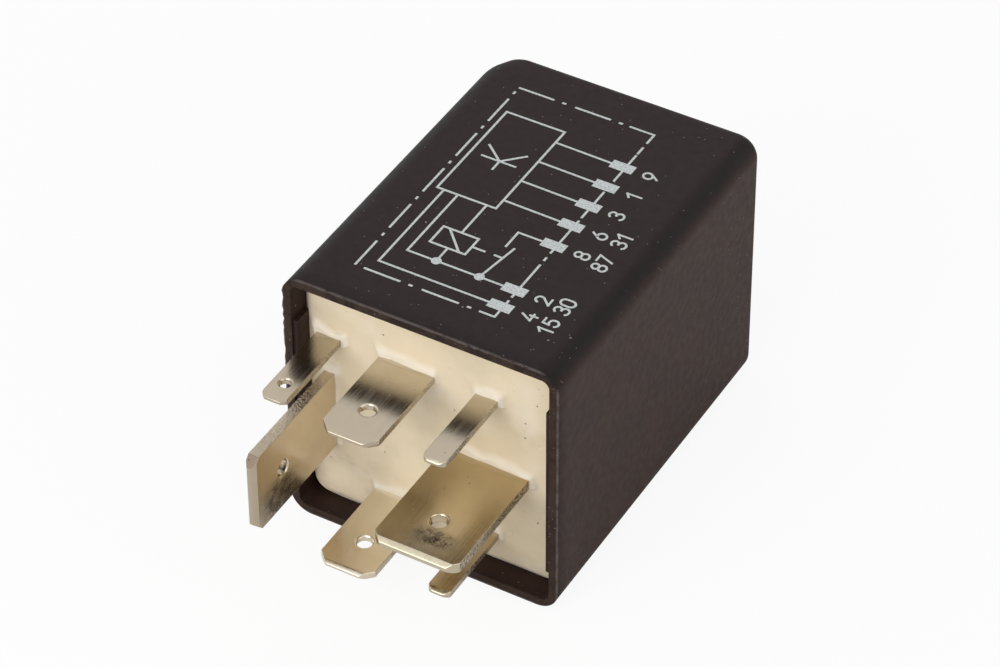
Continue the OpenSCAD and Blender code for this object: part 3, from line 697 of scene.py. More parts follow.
class Repeater(Sheet):
    """A geometry node tree that ends in Realize Instances and Set Material."""

    def __init__(self, name: str, sizes: dict[str, str]) -> None:
        """Starts the tree.

        Args:
            name: the tree's name.
            sizes: the tree's inputs, as name and socket type.
        """
        super().__init__(bpy.data.node_groups.new(name, "GeometryNodeTree"))
        ports = self.tree.interface
        ports.new_socket("Geometry", in_out="INPUT", socket_type="NodeSocketGeometry")
        self.keys = {key: ports.new_socket(key, in_out="INPUT", socket_type=kind).identifier
                     for key, kind in sizes.items()}
        ports.new_socket("Geometry", in_out="OUTPUT", socket_type="NodeSocketGeometry")
        self.entry = self.tree.nodes.new("NodeGroupInput")

    def given(self, name: str) -> Link:
        """One of the tree's inputs."""
        return Link(self, self.entry.outputs[name])

    def end(self, geometry: Link) -> None:
        """Realizes the instances, sets the material and ends the tree."""
        real = self.node("GeometryNodeRealizeInstances", None, {0: geometry})
        done = self.node("GeometryNodeSetMaterial", None,
                         {"Geometry": real, "Material": self.given("Material")})
        self.feed(self.tree.nodes.new("NodeGroupOutput").inputs[0], done)

    def grow(self, seed: bpy.types.Mesh, values: dict[str, object]) -> bpy.types.Mesh:
        """Runs the tree on a mesh.

        Args:
            seed: the mesh that it starts from.
            values: the tree's inputs by name.

        Returns:
            A plain mesh.
        """
        work = linked(self.tree.name, seed)
        run = work.modifiers.new(self.tree.name, "NODES")
        run.node_group = self.tree
        for key, value in values.items():
            run[self.keys[key]] = value
        return settled(work)


def dash_dot_tree() -> Repeater:
    """Tree that lays a dash and a dot over and over along the edges of a mesh."""
    sizes = {key: "NodeSocketFloat" for key in ("Dash", "Dot", "Gap", "Width", "Thickness")}
    tree = Repeater("dash_dot", {**sizes, "Material": "NodeSocketMaterial"})
    dash, dot, gap = (tree.given(k) for k in ("Dash", "Dot", "Gap"))
    width, thick = tree.given("Width"), tree.given("Thickness")
    path = tree.node("GeometryNodeMeshToCurve", None, {0: tree.given("Geometry")})
    stops = tree.node("GeometryNodeCurveToPoints", {"mode": "LENGTH"},
                      {"Curve": path, "Length": dash + dot + gap * 2})
    turn = tree.node("FunctionNodeAlignRotationToVector", {"axis": "X", "pivot_axis": "Z"},
                     {"Vector": stops.sibling("Tangent")})

    def bar(length: Link, start: Number) -> Link:
        """A bar of that length that starts that far along X."""
        size = tree.node("ShaderNodeCombineXYZ", None, {0: length, 1: width, 2: thick})
        cube = tree.node("GeometryNodeMeshCube", None, {"Size": size})
        offset = tree.node("ShaderNodeCombineXYZ", None, {0: length / 2 + start})
        return tree.node("GeometryNodeTransform", None, {"Geometry": cube, "Translation": offset})

    both = tree.node("GeometryNodeJoinGeometry", None, {0: bar(dash, 0.0)})
    tree.feed(both.socket.node.inputs[0], bar(dot, dash + gap))
    copies = tree.node("GeometryNodeInstanceOnPoints", None,
                       {"Points": stops, "Instance": both, "Rotation": turn})
    tree.end(copies)
    return tree


def band_tree() -> Repeater:
    """Tree that puts a thin ring at each point of a mesh, along the point's own axis."""
    sizes = {"Width": "NodeSocketFloat", "Material": "NodeSocketMaterial"}
    tree = Repeater("colour_band_rings", sizes)
    axis = tree.node("GeometryNodeInputNamedAttribute", {"data_type": "FLOAT_VECTOR"},
                     {"Name": "axis"})
    girth = tree.node("GeometryNodeInputNamedAttribute", {"data_type": "FLOAT"},
                      {"Name": "girth"})
    ring = tree.node("GeometryNodeMeshCylinder", None,
                     {"Vertices": 32, "Radius": 1.0, "Depth": tree.given("Width")})
    turn = tree.node("FunctionNodeAlignRotationToVector", {"axis": "Z"}, {"Vector": axis})
    scale = tree.node("ShaderNodeCombineXYZ", None, {0: girth, 1: girth, 2: 1.0})
    copies = tree.node("GeometryNodeInstanceOnPoints", None,
                       {"Points": tree.given("Geometry"), "Instance": ring,
                        "Rotation": turn, "Scale": scale})
    tree.end(copies)
    return tree


# ------------------------------------------------------------------ the relay's sub-assemblies


@dataclass
class Housing:
    """The cap: moulded edges, a closed end that narrows, one rounder corner and a nicked rim."""

    rim_round: float = 0.14
    seal_recess: float = 2.3
    ball: float = 4.0
    ball_blend: float = 4.6
    ball_cuts: int = 8
    draft: float = 0.2
    nick_pitch: float = 0.55
    nick_reach: float = 0.45
    nick_depth: float = 0.14
    nick_share: float = 0.3
    nick_scale: float = 1.7
    finish: CapPlastic = field(default_factory=CapPlastic)
    low: Vector = field(init=False)
    high: Vector = field(init=False)

    def __post_init__(self) -> None:
        """Reads the cap's own place."""
        self.low, self.high = box_mm("cap")

    @staticmethod
    def _slice(shape: bmesh.types.BMesh, axis: int, at: float) -> None:
        """Cuts every face that crosses a plane, so that it can bend there."""
        normal = Vector((0, 0, 0))
        normal[axis] = 1
        bmesh.ops.bisect_plane(shape, geom=shape.verts[:] + shape.edges[:] + shape.faces[:],
                               dist=0.02 * MM, plane_co=normal * at * MM, plane_no=normal)

    def _reshape(self, shape: bmesh.types.BMesh) -> None:
        """Narrows the cap towards its closed end and rounds off that end's left upper corner."""
        low, high = self.low, self.high
        self._nick_rim(shape)
        inward = Vector((1, -1, -1))
        centre = Vector((low.x, high.y, high.z)) + inward * self.ball
        for k in range(self.ball_cuts):
            for axis in range(3):
                self._slice(shape, axis, centre[axis]
                            - inward[axis] * self.ball * k / self.ball_cuts)
        for corner in shape.verts:
            place = corner.co / MM
            reach = Vector([(c - p) * i for c, p, i in zip(centre, place, inward)])
            far = reach.length
            if min(reach) > 0 and far > self.ball:
                pull = math.prod(fade(r, 0.0, self.ball_blend) for r in reach)
                place = centre + (place - centre) * (1 + (self.ball / far - 1) * pull)
            place.x *= 1 - self.draft / high.x * (place.y - low.y) / (high.y - low.y)
            corner.co = place * MM

    def _nick_rim(self, shape: bmesh.types.BMesh) -> None:
        """Breaks up the rim's outer edge with small uneven nicks."""
        low, high = self.low, self.high
        self._slice(shape, 1, low.y + self.nick_reach)
        for axis in (0, 2):
            for k in range(1, int((high[axis] - low[axis]) / self.nick_pitch)):
                self._slice(shape, axis, low[axis] + k * self.nick_pitch)
        edge = 0.01
        for corner in shape.verts:
            place = corner.co / MM
            if place.y > low.y + edge:
                continue
            bite = self.nick_share + noise.noise(place * self.nick_scale)
            nick = self.nick_depth * max(0.0, bite)
            if abs(place.x) > high.x - edge:
                place.x -= math.copysign(nick, place.x)
                place.y += nick * 0.5
            elif place.z > high.z - edge:
                place.z -= nick * 0.5
                place.y += nick * 0.7
            corner.co = place * MM

    def build(self) -> None:
        """Makes the cap's shell in place of its CAD solid."""
        shell = softened("cap", self.rim_round, self._reshape)
        material = self.finish.make(self.low, self.high, self.seal_recess)
        place_piece("cap_shell", shell, material, "cap")


def bow(x: float, y: float, wide: float, high: float, start: float, end: float) -> list[Point2]:
    """Part of an oval as a polyline.

    Args:
        x: its middle across.
        y: its middle upwards.
        wide: half its width.
        high: half its height.
        start: the angle at which it starts, in degrees.
        end: the angle at which it ends.

    Returns:
        The points.
    """
    steps = max(4, round(abs(end - start) / 18))
    turns = [math.radians(start + (end - start) * k / steps) for k in range(steps + 1)]
    return [(x + wide * math.cos(t), y + high * math.sin(t)) for t in turns]


# Each digit's strokes, one unit high, and the middle of its width.
FIGURE_MIDDLE = 0.31
FIGURES: dict[str, list[list[Point2]]] = {
    "0": [bow(0.31, 0.68, 0.27, 0.32, 0, 180) + bow(0.31, 0.32, 0.27, 0.32, 180, 360)
          + [(0.58, 0.68)]],
    "1": [[(0.10, 0.76), (0.38, 1.0), (0.38, 0.0)]],
    "2": [bow(0.31, 0.72, 0.26, 0.28, 165, -40) + [(0.06, 0.0), (0.60, 0.0)]],
    "3": [bow(0.30, 0.76, 0.24, 0.24, 150, -85), bow(0.30, 0.27, 0.28, 0.27, 85, -150)],
    "4": [[(0.40, 1.0), (0.04, 0.3), (0.62, 0.3)], [(0.46, 0.5), (0.46, 0.0)]],
    "5": [[(0.55, 1.0), (0.12, 1.0), (0.09, 0.55)] + bow(0.31, 0.32, 0.27, 0.32, 125, -150)],
    "6": [bow(0.31, 0.31, 0.27, 0.31, 0, 360), [(0.07, 0.45), (0.42, 1.0)]],
    "7": [[(0.06, 1.0), (0.58, 1.0), (0.24, 0.0)]],
    "8": [bow(0.31, 0.76, 0.23, 0.24, 0, 360), bow(0.31, 0.27, 0.27, 0.27, 0, 360)],
    "9": [bow(0.31, 0.69, 0.27, 0.31, 0, 360), [(0.55, 0.55), (0.20, 0.0)]],
}


# The diagram's signs, as places across and back from the rim, in millimetres.
SIGNS: dict[str, list[list[Point2]]] = {
    "controller": [[(-7.7, 25.6), (-3.9, 25.6)], [(-7.9, 27.4), (-5.7, 25.6), (-5.7, 24.2)],
                   [(-5.7, 25.6), (-3.7, 27.6)]],
    "coil": [[(-5.4, 11.4), (-1.4, 11.4), (-1.4, 14.1), (-5.4, 14.1), (-5.4, 11.4)],
             [(-4.7, 14.1), (-2.1, 11.4)]],
    "coil_to_switch": [[(-1.4, 12.75), (0.0, 12.75)], [(1.2, 12.75), (1.9, 12.75)]],
}


@dataclass
class PrintedDiagram:
    """Connection diagram on the cap's upper side, placed from the rim and the cap's middle."""

    line: float = 0.25
    ink: float = 0.024
    sink: float = 0.01
    layer: float = 0.001
    layers: int = 15
    left: float = -9.95
    right: float = 5.75
    front: float = 4.8
    back: float = 36.95
    dash: float = 4.15
    dot: float = 0.45
    gap: float = 0.92
    box_left: float = -9.05
    box_right: float = -2.3
    box_front: float = 19.0
    box_back: float = 32.9
    pad_x: float = 5.45
    pad_length: float = 2.55
    pad_width: float = 1.26
    first_pad: float = 6.45
    second_pad: float = 9.2
    third_pad: float = 16.9
    pad_pitch: float = 3.5
    feeder_insets: Sequence[float] = (0.8, 2.4)
    coil_x: float = -3.35
    coil_front: float = 11.4
    coil_back: float = 14.1
    switch_x: float = 1.5
    switch_back: float = 14.5
    node_radius: float = 0.53
    node_sides: int = 24
    figure_height: float = 1.55
    figure_breadth: float = 1.08
    figure_step: float = 1.25
    figure_line: float = 0.23
    inner_row: float = 9.4
    outer_row: float = 11.7
    inner_labels: str = "4286319"
    outer_labels: Sequence[tuple[str, float]] = (("15", 6.1), ("30", 9.4), ("87", 16.8),
                                                 ("31", 20.75))
    rim: float = field(init=False)
    top: float = field(init=False)

    def __post_init__(self) -> None:
        """Reads the cap's own place."""
        low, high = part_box("cap")
        self.rim, self.top = low.y / MM, high.z / MM

    def pad_rows(self) -> list[float]:
        """Distance of each pad from the rim, nearest first."""
        return [self.first_pad, self.second_pad] + [self.third_pad + self.pad_pitch * k
                                                     for k in range(5)]

    def lines(self) -> Iterable[Sequence[Point2]]:
        """Every drawn polyline but the outline's repeating sides."""
        rows = self.pad_rows()
        near = self.pad_x - self.pad_length / 2
        yield ((self.box_left, self.box_front), (self.box_right, self.box_front),
               (self.box_right, self.box_back), (self.box_left, self.box_back),
               (self.box_left, self.box_front))
        for row in rows[3:]:
            yield (self.box_right, row + 0.1), (near, row)
        for inset, row in zip(self.feeder_insets, rows):
            x = self.box_left + inset
            yield (x, self.box_front), (x, row), (near, row)
        yield from SIGNS["controller"]
        yield from SIGNS["coil"]
        yield (self.coil_x, self.coil_back), (self.coil_x, self.box_front)
        yield (self.coil_x, self.coil_front), (self.coil_x, rows[1])
        yield from SIGNS["coil_to_switch"]
        yield (self.switch_x, rows[1]), (2.35, self.switch_back)
        yield (1.45, self.switch_back), (1.45, rows[2]), (near, rows[2])
        yield from self.right_side(rows)

    def right_side(self, rows: Sequence[float]) -> Iterable[Sequence[Point2]]:
        """Short dashes of the outline between the pads and up to its corners."""
        x = self.right
        yield (self.left + 13.0, self.back), (x, self.back), (x, self.back - 1.45)
        yield (x, self.back - 2.4), (x, self.back - 3.4)
        yield (x, self.back - 3.85), (x, rows[6] - 2.3)
        yield (x, rows[4] + 2.55), (x, rows[4] - 1.9)
        yield (x, rows[3] + 0.9), (x, rows[2] - 1.1)
        yield (x, rows[2] - 2.05), (x, rows[2] - 2.4)
        yield (x, rows[2] - 3.3), (x, rows[1] - 1.0)
        yield (x, rows[0] + 1.0), (x, self.front), (x - 1.6, self.front)

    def thickness(self, k: int) -> float:
        """Thickness of the k-th stroke: a hair less than the last, so that none share a face."""
        return self.ink + self.sink - self.layer * (1 + k % self.layers)

    def dashes(self, ink: bpy.types.Material) -> bpy.types.Mesh:
        """The outline's left, back and front sides, grown along their edges."""
        height = self.top - self.sink + self.thickness(0) / 2
        starts = [(self.left, self.front), (self.left, self.back), (self.left + 1.0, self.front)]
        period = self.dash + self.dot + 2 * self.gap
        spans = [(0.0, 4.02 * period), (1.02 * period, 0.0), (1.02 * period, 0.0)]
        ends = []
        for (x, y), (dx, dy) in zip(starts, spans):
            ends += [(x, y + self.rim, height), (x + dx, y + dy + self.rim, height)]
        seed = bpy.data.meshes.new("outline_sides")
        seed.from_pydata([[c * MM for c in end] for end in ends], [(0, 1), (2, 3), (4, 5)], [])
        sizes = {"Dash": self.dash, "Dot": self.dot, "Gap": self.gap, "Width": self.line,
                 "Thickness": self.thickness(0)}
        values = {key: value * MM for key, value in sizes.items()}
        return dash_dot_tree().grow(seed, {**values, "Material": ink})

    def strokes(self) -> bpy.types.Mesh:
        """Lines, pads and node dots."""
        sketch = Sketch()
        low, high = self.top - self.sink, self.top + self.ink
        pairs = [pair for points in self.lines() for pair in zip(points, points[1:])]
        for k, (a, b) in enumerate(pairs):
            sketch.stroke((a[0], a[1] + self.rim), (b[0], b[1] + self.rim), self.line, low,
                          low + self.thickness(k))
        for row in self.pad_rows():
            half, side = self.pad_length / 2, self.pad_width / 2
            y = row + self.rim
            sketch.prism([(self.pad_x - half, y - side), (self.pad_x + half, y - side),
                          (self.pad_x + half, y + side), (self.pad_x - half, y + side)], low, high)
        turns = [math.tau * k / self.node_sides for k in range(self.node_sides)]
        for x in (self.coil_x, self.switch_x):
            circle = [(x + self.node_radius * math.cos(turn),
                       self.second_pad + self.rim + self.node_radius * math.sin(turn))
                      for turn in turns]
            sketch.prism(circle, low, high)
        return sketch.mesh("diagram_lines")

    def figures(self) -> bpy.types.Mesh:
        """Plain terminal numbers in two rows beside the pads."""
        rows, sketch = self.pad_rows(), Sketch()
        labels = [(t, r, self.inner_row) for t, r in zip(self.inner_labels, rows)]
        labels += [(text, row, self.outer_row) for text, row in self.outer_labels]
        low, count = self.top - self.sink, 0
        for text, row, foot in labels:
            start = row + self.rim - self.figure_step * (len(text) - 1) / 2
            for k, digit in enumerate(text):
                middle = start + k * self.figure_step
                for path in FIGURES[digit]:
                    points = [(foot - v * self.figure_height,
                               middle + (u - FIGURE_MIDDLE) * self.figure_height
                               * self.figure_breadth) for u, v in path]
                    for a, b in zip(points, points[1:]):
                        sketch.stroke(a, b, self.figure_line, low, low + self.thickness(count))
                        count += 1
        return sketch.mesh("figures")

    def build(self) -> None:
        """Makes the whole print in one ink."""
        ink = PrintInk().make()
        place_piece("printed_outline", self.dashes(ink), ink)
        place_piece("printed_diagram", self.strokes(), ink)
        place_piece("printed_figures", self.figures(), ink)


@dataclass
class Seal:
    """The poured compound: it climbs at the blades and the upper walls and falls away below."""

    cell: float = 0.15
    corner: float = 2.4
    low_left_corner: float = 3.8
    climb: float = 0.42
    climb_reach: float = 0.4
    climb_power: float = 1.6
    collar: float = 0.6
    collar_wobble: float = 0.45
    ledge_wobble: float = 0.4
    outline_wobble: float = 0.7
    ledge: float = 1.15
    ledge_side: float = 0.9
    wall_climb: float = 0.28
    wall_reach: float = 0.5
    fall: float = 0.55
    fall_reach: float = 0.5
    fall_power: float = 1.4
    left_wall_reach: float = 1.3
    swell: float = 0.07
    ripple: float = 0.02
    pit_depth: float = 0.16
    pits: Sequence[tuple[float, float, float]] = (
        (8.9, 5.9, 0.22), (3.9, 6.8, 0.16), (-7.8, 27.0, 0.2), (-1.5, 27.4, 0.16),
        (10.4, 9.6, 0.18), (-9.2, 9.8, 0.25), (0.6, 17.9, 0.18), (12.2, 18.9, 0.2))
    blades: Sequence[str] = ("blade_top_left", "blade_top_middle", "blade_top_right",
                             "power_blade_left", "power_blade_right", "blade_bottom_middle",
                             "blade_bottom_right")
    sections: dict[str, tuple[float, float, float, float]] = field(init=False)

    def __post_init__(self) -> None:
        """Reads each blade's section where it stands out of the seal."""
        self.sections = {}
        for name in self.blades:
            low, high = exposed(name)
            self.sections[name] = (low.x / MM, high.x / MM, low.z / MM, high.z / MM)

    def rise(self, x: float, z: float, low: Vector, high: Vector) -> tuple[float, float]:
        """How the face lies at a place.

        Args:
            x: the place across.
            z: its height.
            low: the seal's lowest corner, in millimetres.
            high: its highest corner.

        Returns:
            How far the face stands out and how far it falls back, in millimetres.
        """
        out = 0.0
        for left, right, under, over in self.sections.values():
            dx, dz = max(left - x, 0, x - right), max(under - z, 0, z - over)
            away = math.hypot(dx, dz)
            wobble = noise.noise(Vector((x * 0.5, z * 0.5, left)))
            out = max(out, self.collar * self.climb * (1 + self.collar_wobble * wobble)
                      * math.exp(-((away / self.climb_reach) ** self.climb_power)))
            shift = self.outline_wobble * wobble
            above = fade(z - over + shift, self.ledge, 0.35)
            beside = fade(max(left - x, x - right) + shift, self.ledge_side, 0.1)
            if z > under:
                out = max(out, self.climb * above * beside * (1 + self.ledge_wobble * wobble))
        upper = min(high.z - z, high.x - x)
        out += self.wall_climb * math.exp(-upper / self.wall_reach)
        lower = min(z - low.z, (x - low.x) * self.left_wall_reach)
        back = self.fall * math.exp(-((lower / self.fall_reach) ** self.fall_power))
        out += self.swell * noise.noise(Vector((x * 0.3, z * 0.3, 3.0)))
        out += self.ripple * noise.noise(Vector((x * 1.7, z * 1.7, 9.0)))
        for px, pz, radius in self.pits:
            away = math.hypot(x - px, z - pz) / radius
            if away < 2:
                out -= self.pit_depth * math.exp(-(away ** 2) * 1.5)
        return out, back

    def rounded(self, u: float, v: float, half: Vector) -> Point2:
        """Maps a place in a square to the seal's round-cornered outline.

        Args:
            u: place across, from -1 to 1.
            v: place upwards, from -1 to 1.
            half: half the seal's width and height.

        Returns:
            The place from the seal's middle, in millimetres.
        """
        x, z = u * half.x, v * half.z
        radius = self.low_left_corner if x < 0 and z < 0 else self.corner
        ex, ez = abs(x) - half.x + radius, abs(z) - half.z + radius
        if ex > 0 and ez > 0:
            p, q = ex / radius, ez / radius
            ex, ez = ex * math.sqrt(1 - q * q / 2), ez * math.sqrt(1 - p * p / 2)
            x = math.copysign(half.x - radius + ex, x)
            z = math.copysign(half.z - radius + ez, z)
        return x, z

    def build(self) -> None:
        """Makes the seal's relief in place of its CAD solid."""
        low, high = box_mm("sealing_compound")
        middle, half = (low + high) / 2, (high - low) / 2
        n = round(2 * half.x / self.cell)
        corners, lifts, falls = [], [], []
        for j in range(n + 1):
            for i in range(n + 1):
                x, z = self.rounded(2 * i / n - 1, 2 * j / n - 1, half)
                out, back = self.rise(x + middle.x, z + middle.z, low, high)
                corners.append((x + middle.x, low.y - out + back, z + middle.z))
                lifts.append(max(out, 0.0) / self.climb)
                falls.append(back / self.fall)
        row = n + 1
        faces = [[j * row + i, j * row + i + 1, (j + 1) * row + i + 1, (j + 1) * row + i]
                 for j in range(n) for i in range(n)]
        ring = [*range(n), *(j * row + n for j in range(n)),
                *(n * row + i for i in range(n, 0, -1)), *(j * row for j in range(n, 0, -1))]
        base, count = len(corners), len(ring)
        corners += [(corners[k][0], high.y, corners[k][2]) for k in ring]
        lifts += [0.0] * count
        falls += [0.0] * count
        faces += [[ring[(k + 1) % count], ring[k], base + k, base + (k + 1) % count]
                  for k in range(count)]
        faces.append([base + k for k in reversed(range(count))])
        mesh = bpy.data.meshes.new("seal")
        mesh.from_pydata([[c * MM for c in corner] for corner in corners], [], faces)
        for key, values in (("lift", lifts), ("fall", falls)):
            mesh.attributes.new(key, "FLOAT", "POINT").data.foreach_set("value", values)
        mesh.shade_smooth()
        mesh.set_sharp_from_angle(angle=math.radians(SEAL_SHARP_ANGLE))
        place_piece("seal_face", mesh, CastCompound().make(),
                    "sealing_compound")


@dataclass
class BladeSet:
    """The seven blades with broken edges, each with its own finish, whose tint is partly painted
    light.
    """

    edge: float = 0.07
    finishes: dict[str, PlatedBlade] = field(init=False)

    def __post_init__(self) -> None:
        """Names each blade's finish."""
        # The tints differ partly as painted light: copies of one plating, each set to how bright
        # that blade looks where it stands.
        self.finishes = {
            "blade_top_left": PlatedBlade("plating_top_left", (0.50, 0.44, 0.34), spots=0.5,
                                          droop=0.04),
            "blade_top_middle": PlatedBlade("plating_top_middle", (0.62, 0.56, 0.45), spots=0.4,
                                            droop=0.09),
            "blade_top_right": PlatedBlade("plating_top_right", (0.60, 0.54, 0.43), droop=0.12),
            "power_blade_left": PlatedBlade("plating_power_left", (0.72, 0.62, 0.48), spots=0.6,
                                            dark=(0.05, 0.035, 0.024), patch=1.0,
                                            patch_back=4.3, patch_aside=-3.0,
                                            patch_reach=(3.8, 4.6), shear=0.1, cut=0.9),
            "power_blade_right": PlatedBlade("plating_power_right", (0.52, 0.42, 0.26),
                                             (0.60, 0.53, 0.40),
                                             dark=(0.05, 0.036, 0.025), patch=1.0,
                                             patch_back=2.7, patch_aside=0.8,
                                             patch_reach=(3.6, 1.9), shear=0.7),
            "blade_bottom_middle": PlatedBlade("plating_bottom_middle", (0.82, 0.76, 0.64),
                                               (0.78, 0.70, 0.56)),
            "blade_bottom_right": PlatedBlade("plating_bottom_right", (0.60, 0.50, 0.36),
                                              (0.60, 0.52, 0.40)),
        }

    def build(self) -> None:
        """Makes every blade in place of its CAD solid."""
        for node, finish in self.finishes.items():
            place_piece(node + "_plated", softened(node, self.edge),
                        finish.make(*exposed(node)), node)


@dataclass
class Magnet:
    """Coil, iron, springs and contacts inside."""

    iron: PlainFinish = PlainFinish("zinc_plated_iron", (0.42, 0.43, 0.44), (0.30, 0.31, 0.30),
                                    0.34, 1.0, grain=Grain.ROLLED_ALONG_Y)
    pole: PlainFinish = PlainFinish("turned_iron", (0.45, 0.45, 0.46), (0.32, 0.32, 0.33), 0.3,
                                    1.0, grain=Grain.TURNED)
    nylon: PlainFinish = PlainFinish("natural_nylon", (0.62, 0.59, 0.50), (0.70, 0.68, 0.60), 0.45)
    wire: PlainFinish = PlainFinish("enamelled_copper", (0.55, 0.20, 0.07), (0.38, 0.11, 0.035),
                                    0.28, 0.85, 0.4, Grain.TURNED)
    bronze: PlainFinish = PlainFinish("spring_bronze", (0.70, 0.48, 0.26), (0.52, 0.34, 0.17), 0.26,
                                      1.0, grain=Grain.ROLLED_ALONG_X)
    steel: PlainFinish = PlainFinish("plated_rivets", (0.55, 0.54, 0.52), (0.40, 0.39, 0.37), 0.3,
                                     1.0)
    silver: PlainFinish = PlainFinish("contact_silver", (0.76, 0.75, 0.71), (0.45, 0.43, 0.40),
                                      0.32, 1.0)
    tin: PlainFinish = PlainFinish("tinned_wire", (0.62, 0.60, 0.56), (0.45, 0.43, 0.40), 0.33, 1.0)
    base: PlainFinish = PlainFinish("base_plastic", (0.05, 0.04, 0.035), (0.03, 0.026, 0.024), 0.5)

    def build(self) -> None:
        """Dresses the CAD solids."""
        worn = {self.iron: ("yoke", "armature"), self.pole: ("core",), self.nylon: ("bobbin",),
                self.wire: ("coil_winding",), self.bronze: ("contact_spring", "hinge_spring"),
                self.steel: ("contact_spring_rivets", "hinge_spring_rivets"),
                self.silver: ("moving_contact", "make_contact", "break_contact"),
                self.tin: ("coil_pins",), self.base: ("base_plate",)}
        for finish, nodes in worn.items():
            material = finish.make()
            for node in nodes:
                dress(node, material)


@dataclass
class ControlBoard:
    """The circuit board, its parts, and the colour bands on the resistors and diodes."""

    band: float = 0.55
    proud: float = 0.02
    resistor: tuple[float, float] = (2.3, 6.3)
    resistor_shares: Sequence[float] = (-0.30, -0.13, 0.02, 0.24)
    diode: tuple[float, float] = (2.6, 5.2)
    diode_share: float = 0.32
    tints: Sequence[Colour] = ((0.22, 0.07, 0.02), (0.02, 0.02, 0.02), (0.60, 0.10, 0.03),
                               (0.55, 0.38, 0.08))
    diode_ring: Colour = (0.6, 0.6, 0.58)

    def bands(self) -> bpy.types.Mesh:
        """Rings on every resistor and one on every diode."""
        rings = [*self._rings("resistors", self.resistor, self.resistor_shares, self.tints),
                 *self._rings("diodes", self.diode, (self.diode_share,), (self.diode_ring,))]
        points, axes, girths, tints = (list(column) for column in zip(*rings))
        seed = bpy.data.meshes.new("band_places")
        seed.from_pydata(points, [], [])
        for key, kind, entry, values in (("axis", "FLOAT_VECTOR", "vector", axes),
                                         ("girth", "FLOAT", "value", girths),
                                         ("tint", "FLOAT_COLOR", "color", tints)):
            flat = values if kind == "FLOAT" else [c for value in values for c in value]
            seed.attributes.new(key, kind, "POINT").data.foreach_set(entry, flat)
        return band_tree().grow(seed, {"Width": self.band * MM})

    def _rings(self, node: str, part: tuple[float, float], shares: Sequence[float],
               tints: Sequence[Colour]) -> Iterable[tuple[Vector, Vector, float, tuple]]:
        """Finds the bands of every part of a CAD node.

        Args:
            node: the CAD node.
            part: diameter and length of one part's body, in millimetres.
            shares: each band's place from the body's middle, as a share of its length.
            tints: each band's colour.

        Yields:
            Each band's place, axis, radius and colour, in metres.
        """
        diameter, length = part
        for low, high in islands(node):
            size = high - low
            axis = Vector((1, 0, 0)) if size.x > size.y else Vector((0, 1, 0))
            middle = Vector(((low.x + high.x) / 2, (low.y + high.y) / 2,
                             high.z - diameter / 2 * MM))
            for share, tint in zip(shares, tints):
                place = middle + axis * share * length * MM
                yield place, axis, (diameter / 2 + self.proud) * MM, (*tint, 1.0)

    def build(self) -> None:
        """Dresses the CAD solids and adds the bands."""
        dress("circuit_board", BoardLaminate().make())
        black = PlainFinish("moulded_epoxy", (0.025, 0.025, 0.026), (0.045, 0.044, 0.043), 0.5,
                            scale=3.0)
        finishes = {
            "control_chip": black, "diodes": black, "drive_transistor": black,
            "resistors": PlainFinish("tan_lacquer", (0.60, 0.46, 0.28), (0.5, 0.36, 0.2), 0.32),
            "electrolytic_capacitor": PlainFinish("blue_sleeve", (0.05, 0.08, 0.22),
                                                  (0.03, 0.05, 0.15), 0.25, coat=0.3),
            "film_capacitor": PlainFinish("red_dip", (0.42, 0.05, 0.035), (0.3, 0.03, 0.02), 0.25,
                                          coat=0.4),
            "solder_joints": PlainFinish("bright_solder", (0.72, 0.72, 0.70), (0.5, 0.5, 0.49),
                                         0.25, 1.0),
        }
        made = {finish: finish.make() for finish in dict.fromkeys(finishes.values())}
        for node, finish in finishes.items():
            dress(node, made[finish])
        place_piece("colour_bands", self.bands(), BandColours().make())


# ------------------------------------------------------------------ studio


@dataclass(frozen=True)
class Lamp:
    """A soft square lamp that faces the relay."""

    name: str
    azimuth: float
    elevation: float
    distance: float
    size: float
    power: float

    def build(self, target: Vector) -> None:
        """Hangs the lamp."""
        light = bpy.data.lights.new(self.name, "AREA")
        light.energy, light.size = self.power, self.size
        holder = linked(self.name, light)
        back = direction(self.azimuth, self.elevation)
        holder.location = target + back * self.distance
        holder.rotation_euler = back.to_track_quat("Z", "Y").to_euler()


def direction(azimuth: float, elevation: float) -> Vector:
    """Unit vector towards a viewer: azimuth 0 looks along +Y, elevation is above the floor."""
    a, e = math.radians(azimuth), math.radians(elevation)
    return Vector((math.sin(a) * math.cos(e), -math.cos(a) * math.cos(e), math.sin(e)))


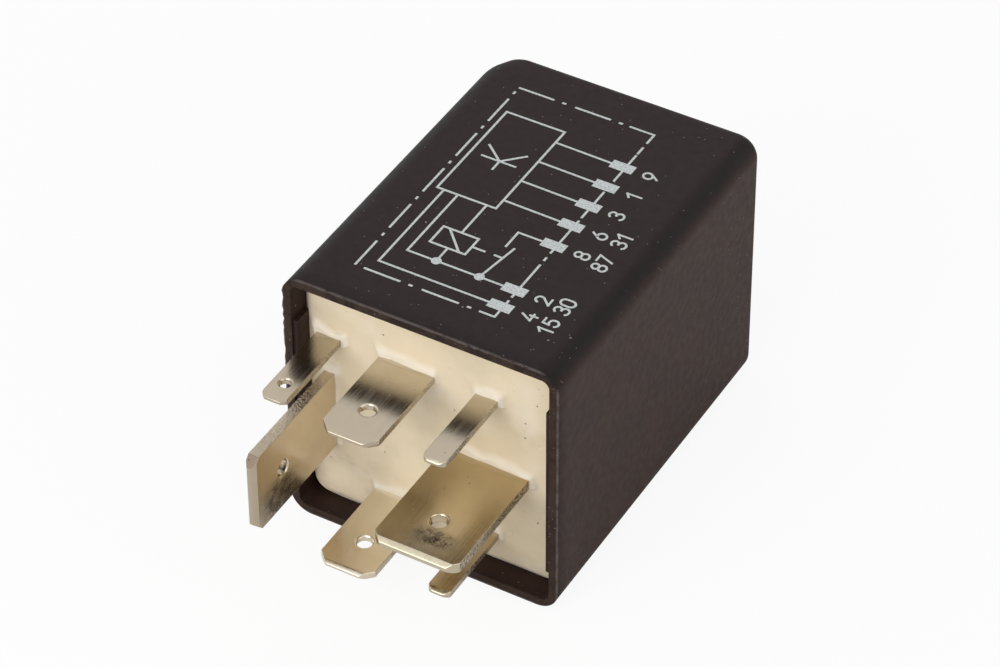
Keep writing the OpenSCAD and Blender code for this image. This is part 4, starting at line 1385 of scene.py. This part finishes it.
@dataclass
class Studio:
    """White floor and surround, soft lamps and the camera."""

    target: Sequence[float] = (0.64, 0.15, 19.22)
    distance: float = 435.3
    azimuth: float = 30.2
    elevation: float = 41.19
    roll: float = 0.33
    lens: float = 157.2
    clip: tuple[float, float] = (0.01, 20.0)
    floor_size: float = 3000.0
    floor_white: float = 0.93
    floor_glow: float = 0.9
    ambient: float = 0.62
    lamps: Sequence[Lamp] = (
        Lamp("key", -12.0, 28.0, 0.7, 0.5, 2.6),
        Lamp("fill", 75.0, 25.0, 0.8, 0.6, 0.9),
    )

    def build(self) -> None:
        """Sets the stage."""
        self._camera()
        self._floor()
        self._world()
        for lamp in self.lamps:
            lamp.build(Vector(self.target) * MM)
        bpy.context.scene.view_settings.view_transform = "Standard"

    def _camera(self) -> None:
        """Aims the camera at the target, turned by its roll."""
        lens = bpy.data.cameras.new("camera")
        lens.lens = self.lens
        lens.clip_start, lens.clip_end = self.clip
        camera = linked("camera", lens)
        back = direction(self.azimuth, self.elevation)
        right = Vector((0, 0, 1)).cross(back).normalized()
        right = Matrix.Rotation(math.radians(self.roll), 3, -back) @ right
        axes = Matrix((right, back.cross(right), back)).transposed().to_4x4()
        camera.matrix_world = Matrix.Translation((Vector(self.target) + back * self.distance)
                                                 * MM) @ axes
        bpy.context.scene.camera = camera

    def _floor(self) -> None:
        """Lays a matte white floor under the relay."""
        half = self.floor_size / 2
        sketch = Sketch()
        sketch.prism([(-half, -half), (half, -half), (half, half), (-half, half)], -1.0, -0.02)
        floor = linked("floor", sketch.mesh("floor"))
        s = Surface("floor_paper")
        paper = s.close(Base_Color=(self.floor_white,) * 3, Roughness=0.9, Specular_IOR_Level=0.0)
        end = next(n for n in s.tree.nodes if n.bl_idname == "ShaderNodeOutputMaterial")
        matte = Link(s, end.inputs["Surface"].links[0].from_socket)
        glow = s.node("ShaderNodeEmission", None, {"Color": (1, 1, 1), "Strength": 1.0})
        camera = s.node("ShaderNodeLightPath", out="Is Camera Ray") * self.floor_glow
        s.feed(end.inputs["Surface"], s.node("ShaderNodeMixShader", None,
                                             {0: camera, 1: matte, 2: glow}))
        coat(floor.data, paper)

    def _world(self) -> None:
        """Surround that looks white to the camera and in gloss, and lights the part softly."""
        world = bpy.data.worlds.new("surround")
        world.use_nodes = True
        bpy.context.scene.world = world
        world.node_tree.nodes.clear()
        s = Sheet(world.node_tree)
        camera, gloss, clear = (s.node("ShaderNodeLightPath", out=f"Is {kind} Ray")
                                for kind in ("Camera", "Glossy", "Transmission"))
        seen = camera.highest(gloss).highest(clear)
        strength = seen * (1 - self.ambient) + self.ambient
        light = s.node("ShaderNodeBackground", None, {"Color": (1, 1, 1), "Strength": strength})
        s.feed(world.node_tree.nodes.new("ShaderNodeOutputWorld").inputs["Surface"], light)


def main() -> None:
    """Builds every sub-assembly in order, then the studio."""
    logging.basicConfig(level=logging.INFO, format="%(name)s: %(message)s", stream=sys.stdout)
    steps: Sequence[Callable[[], object]] = (
        Housing().build, PrintedDiagram().build, Seal().build, BladeSet().build, Magnet().build,
        ControlBoard().build, Studio().build)
    for step in steps:
        step()


if __name__ == "__main__":
    main()
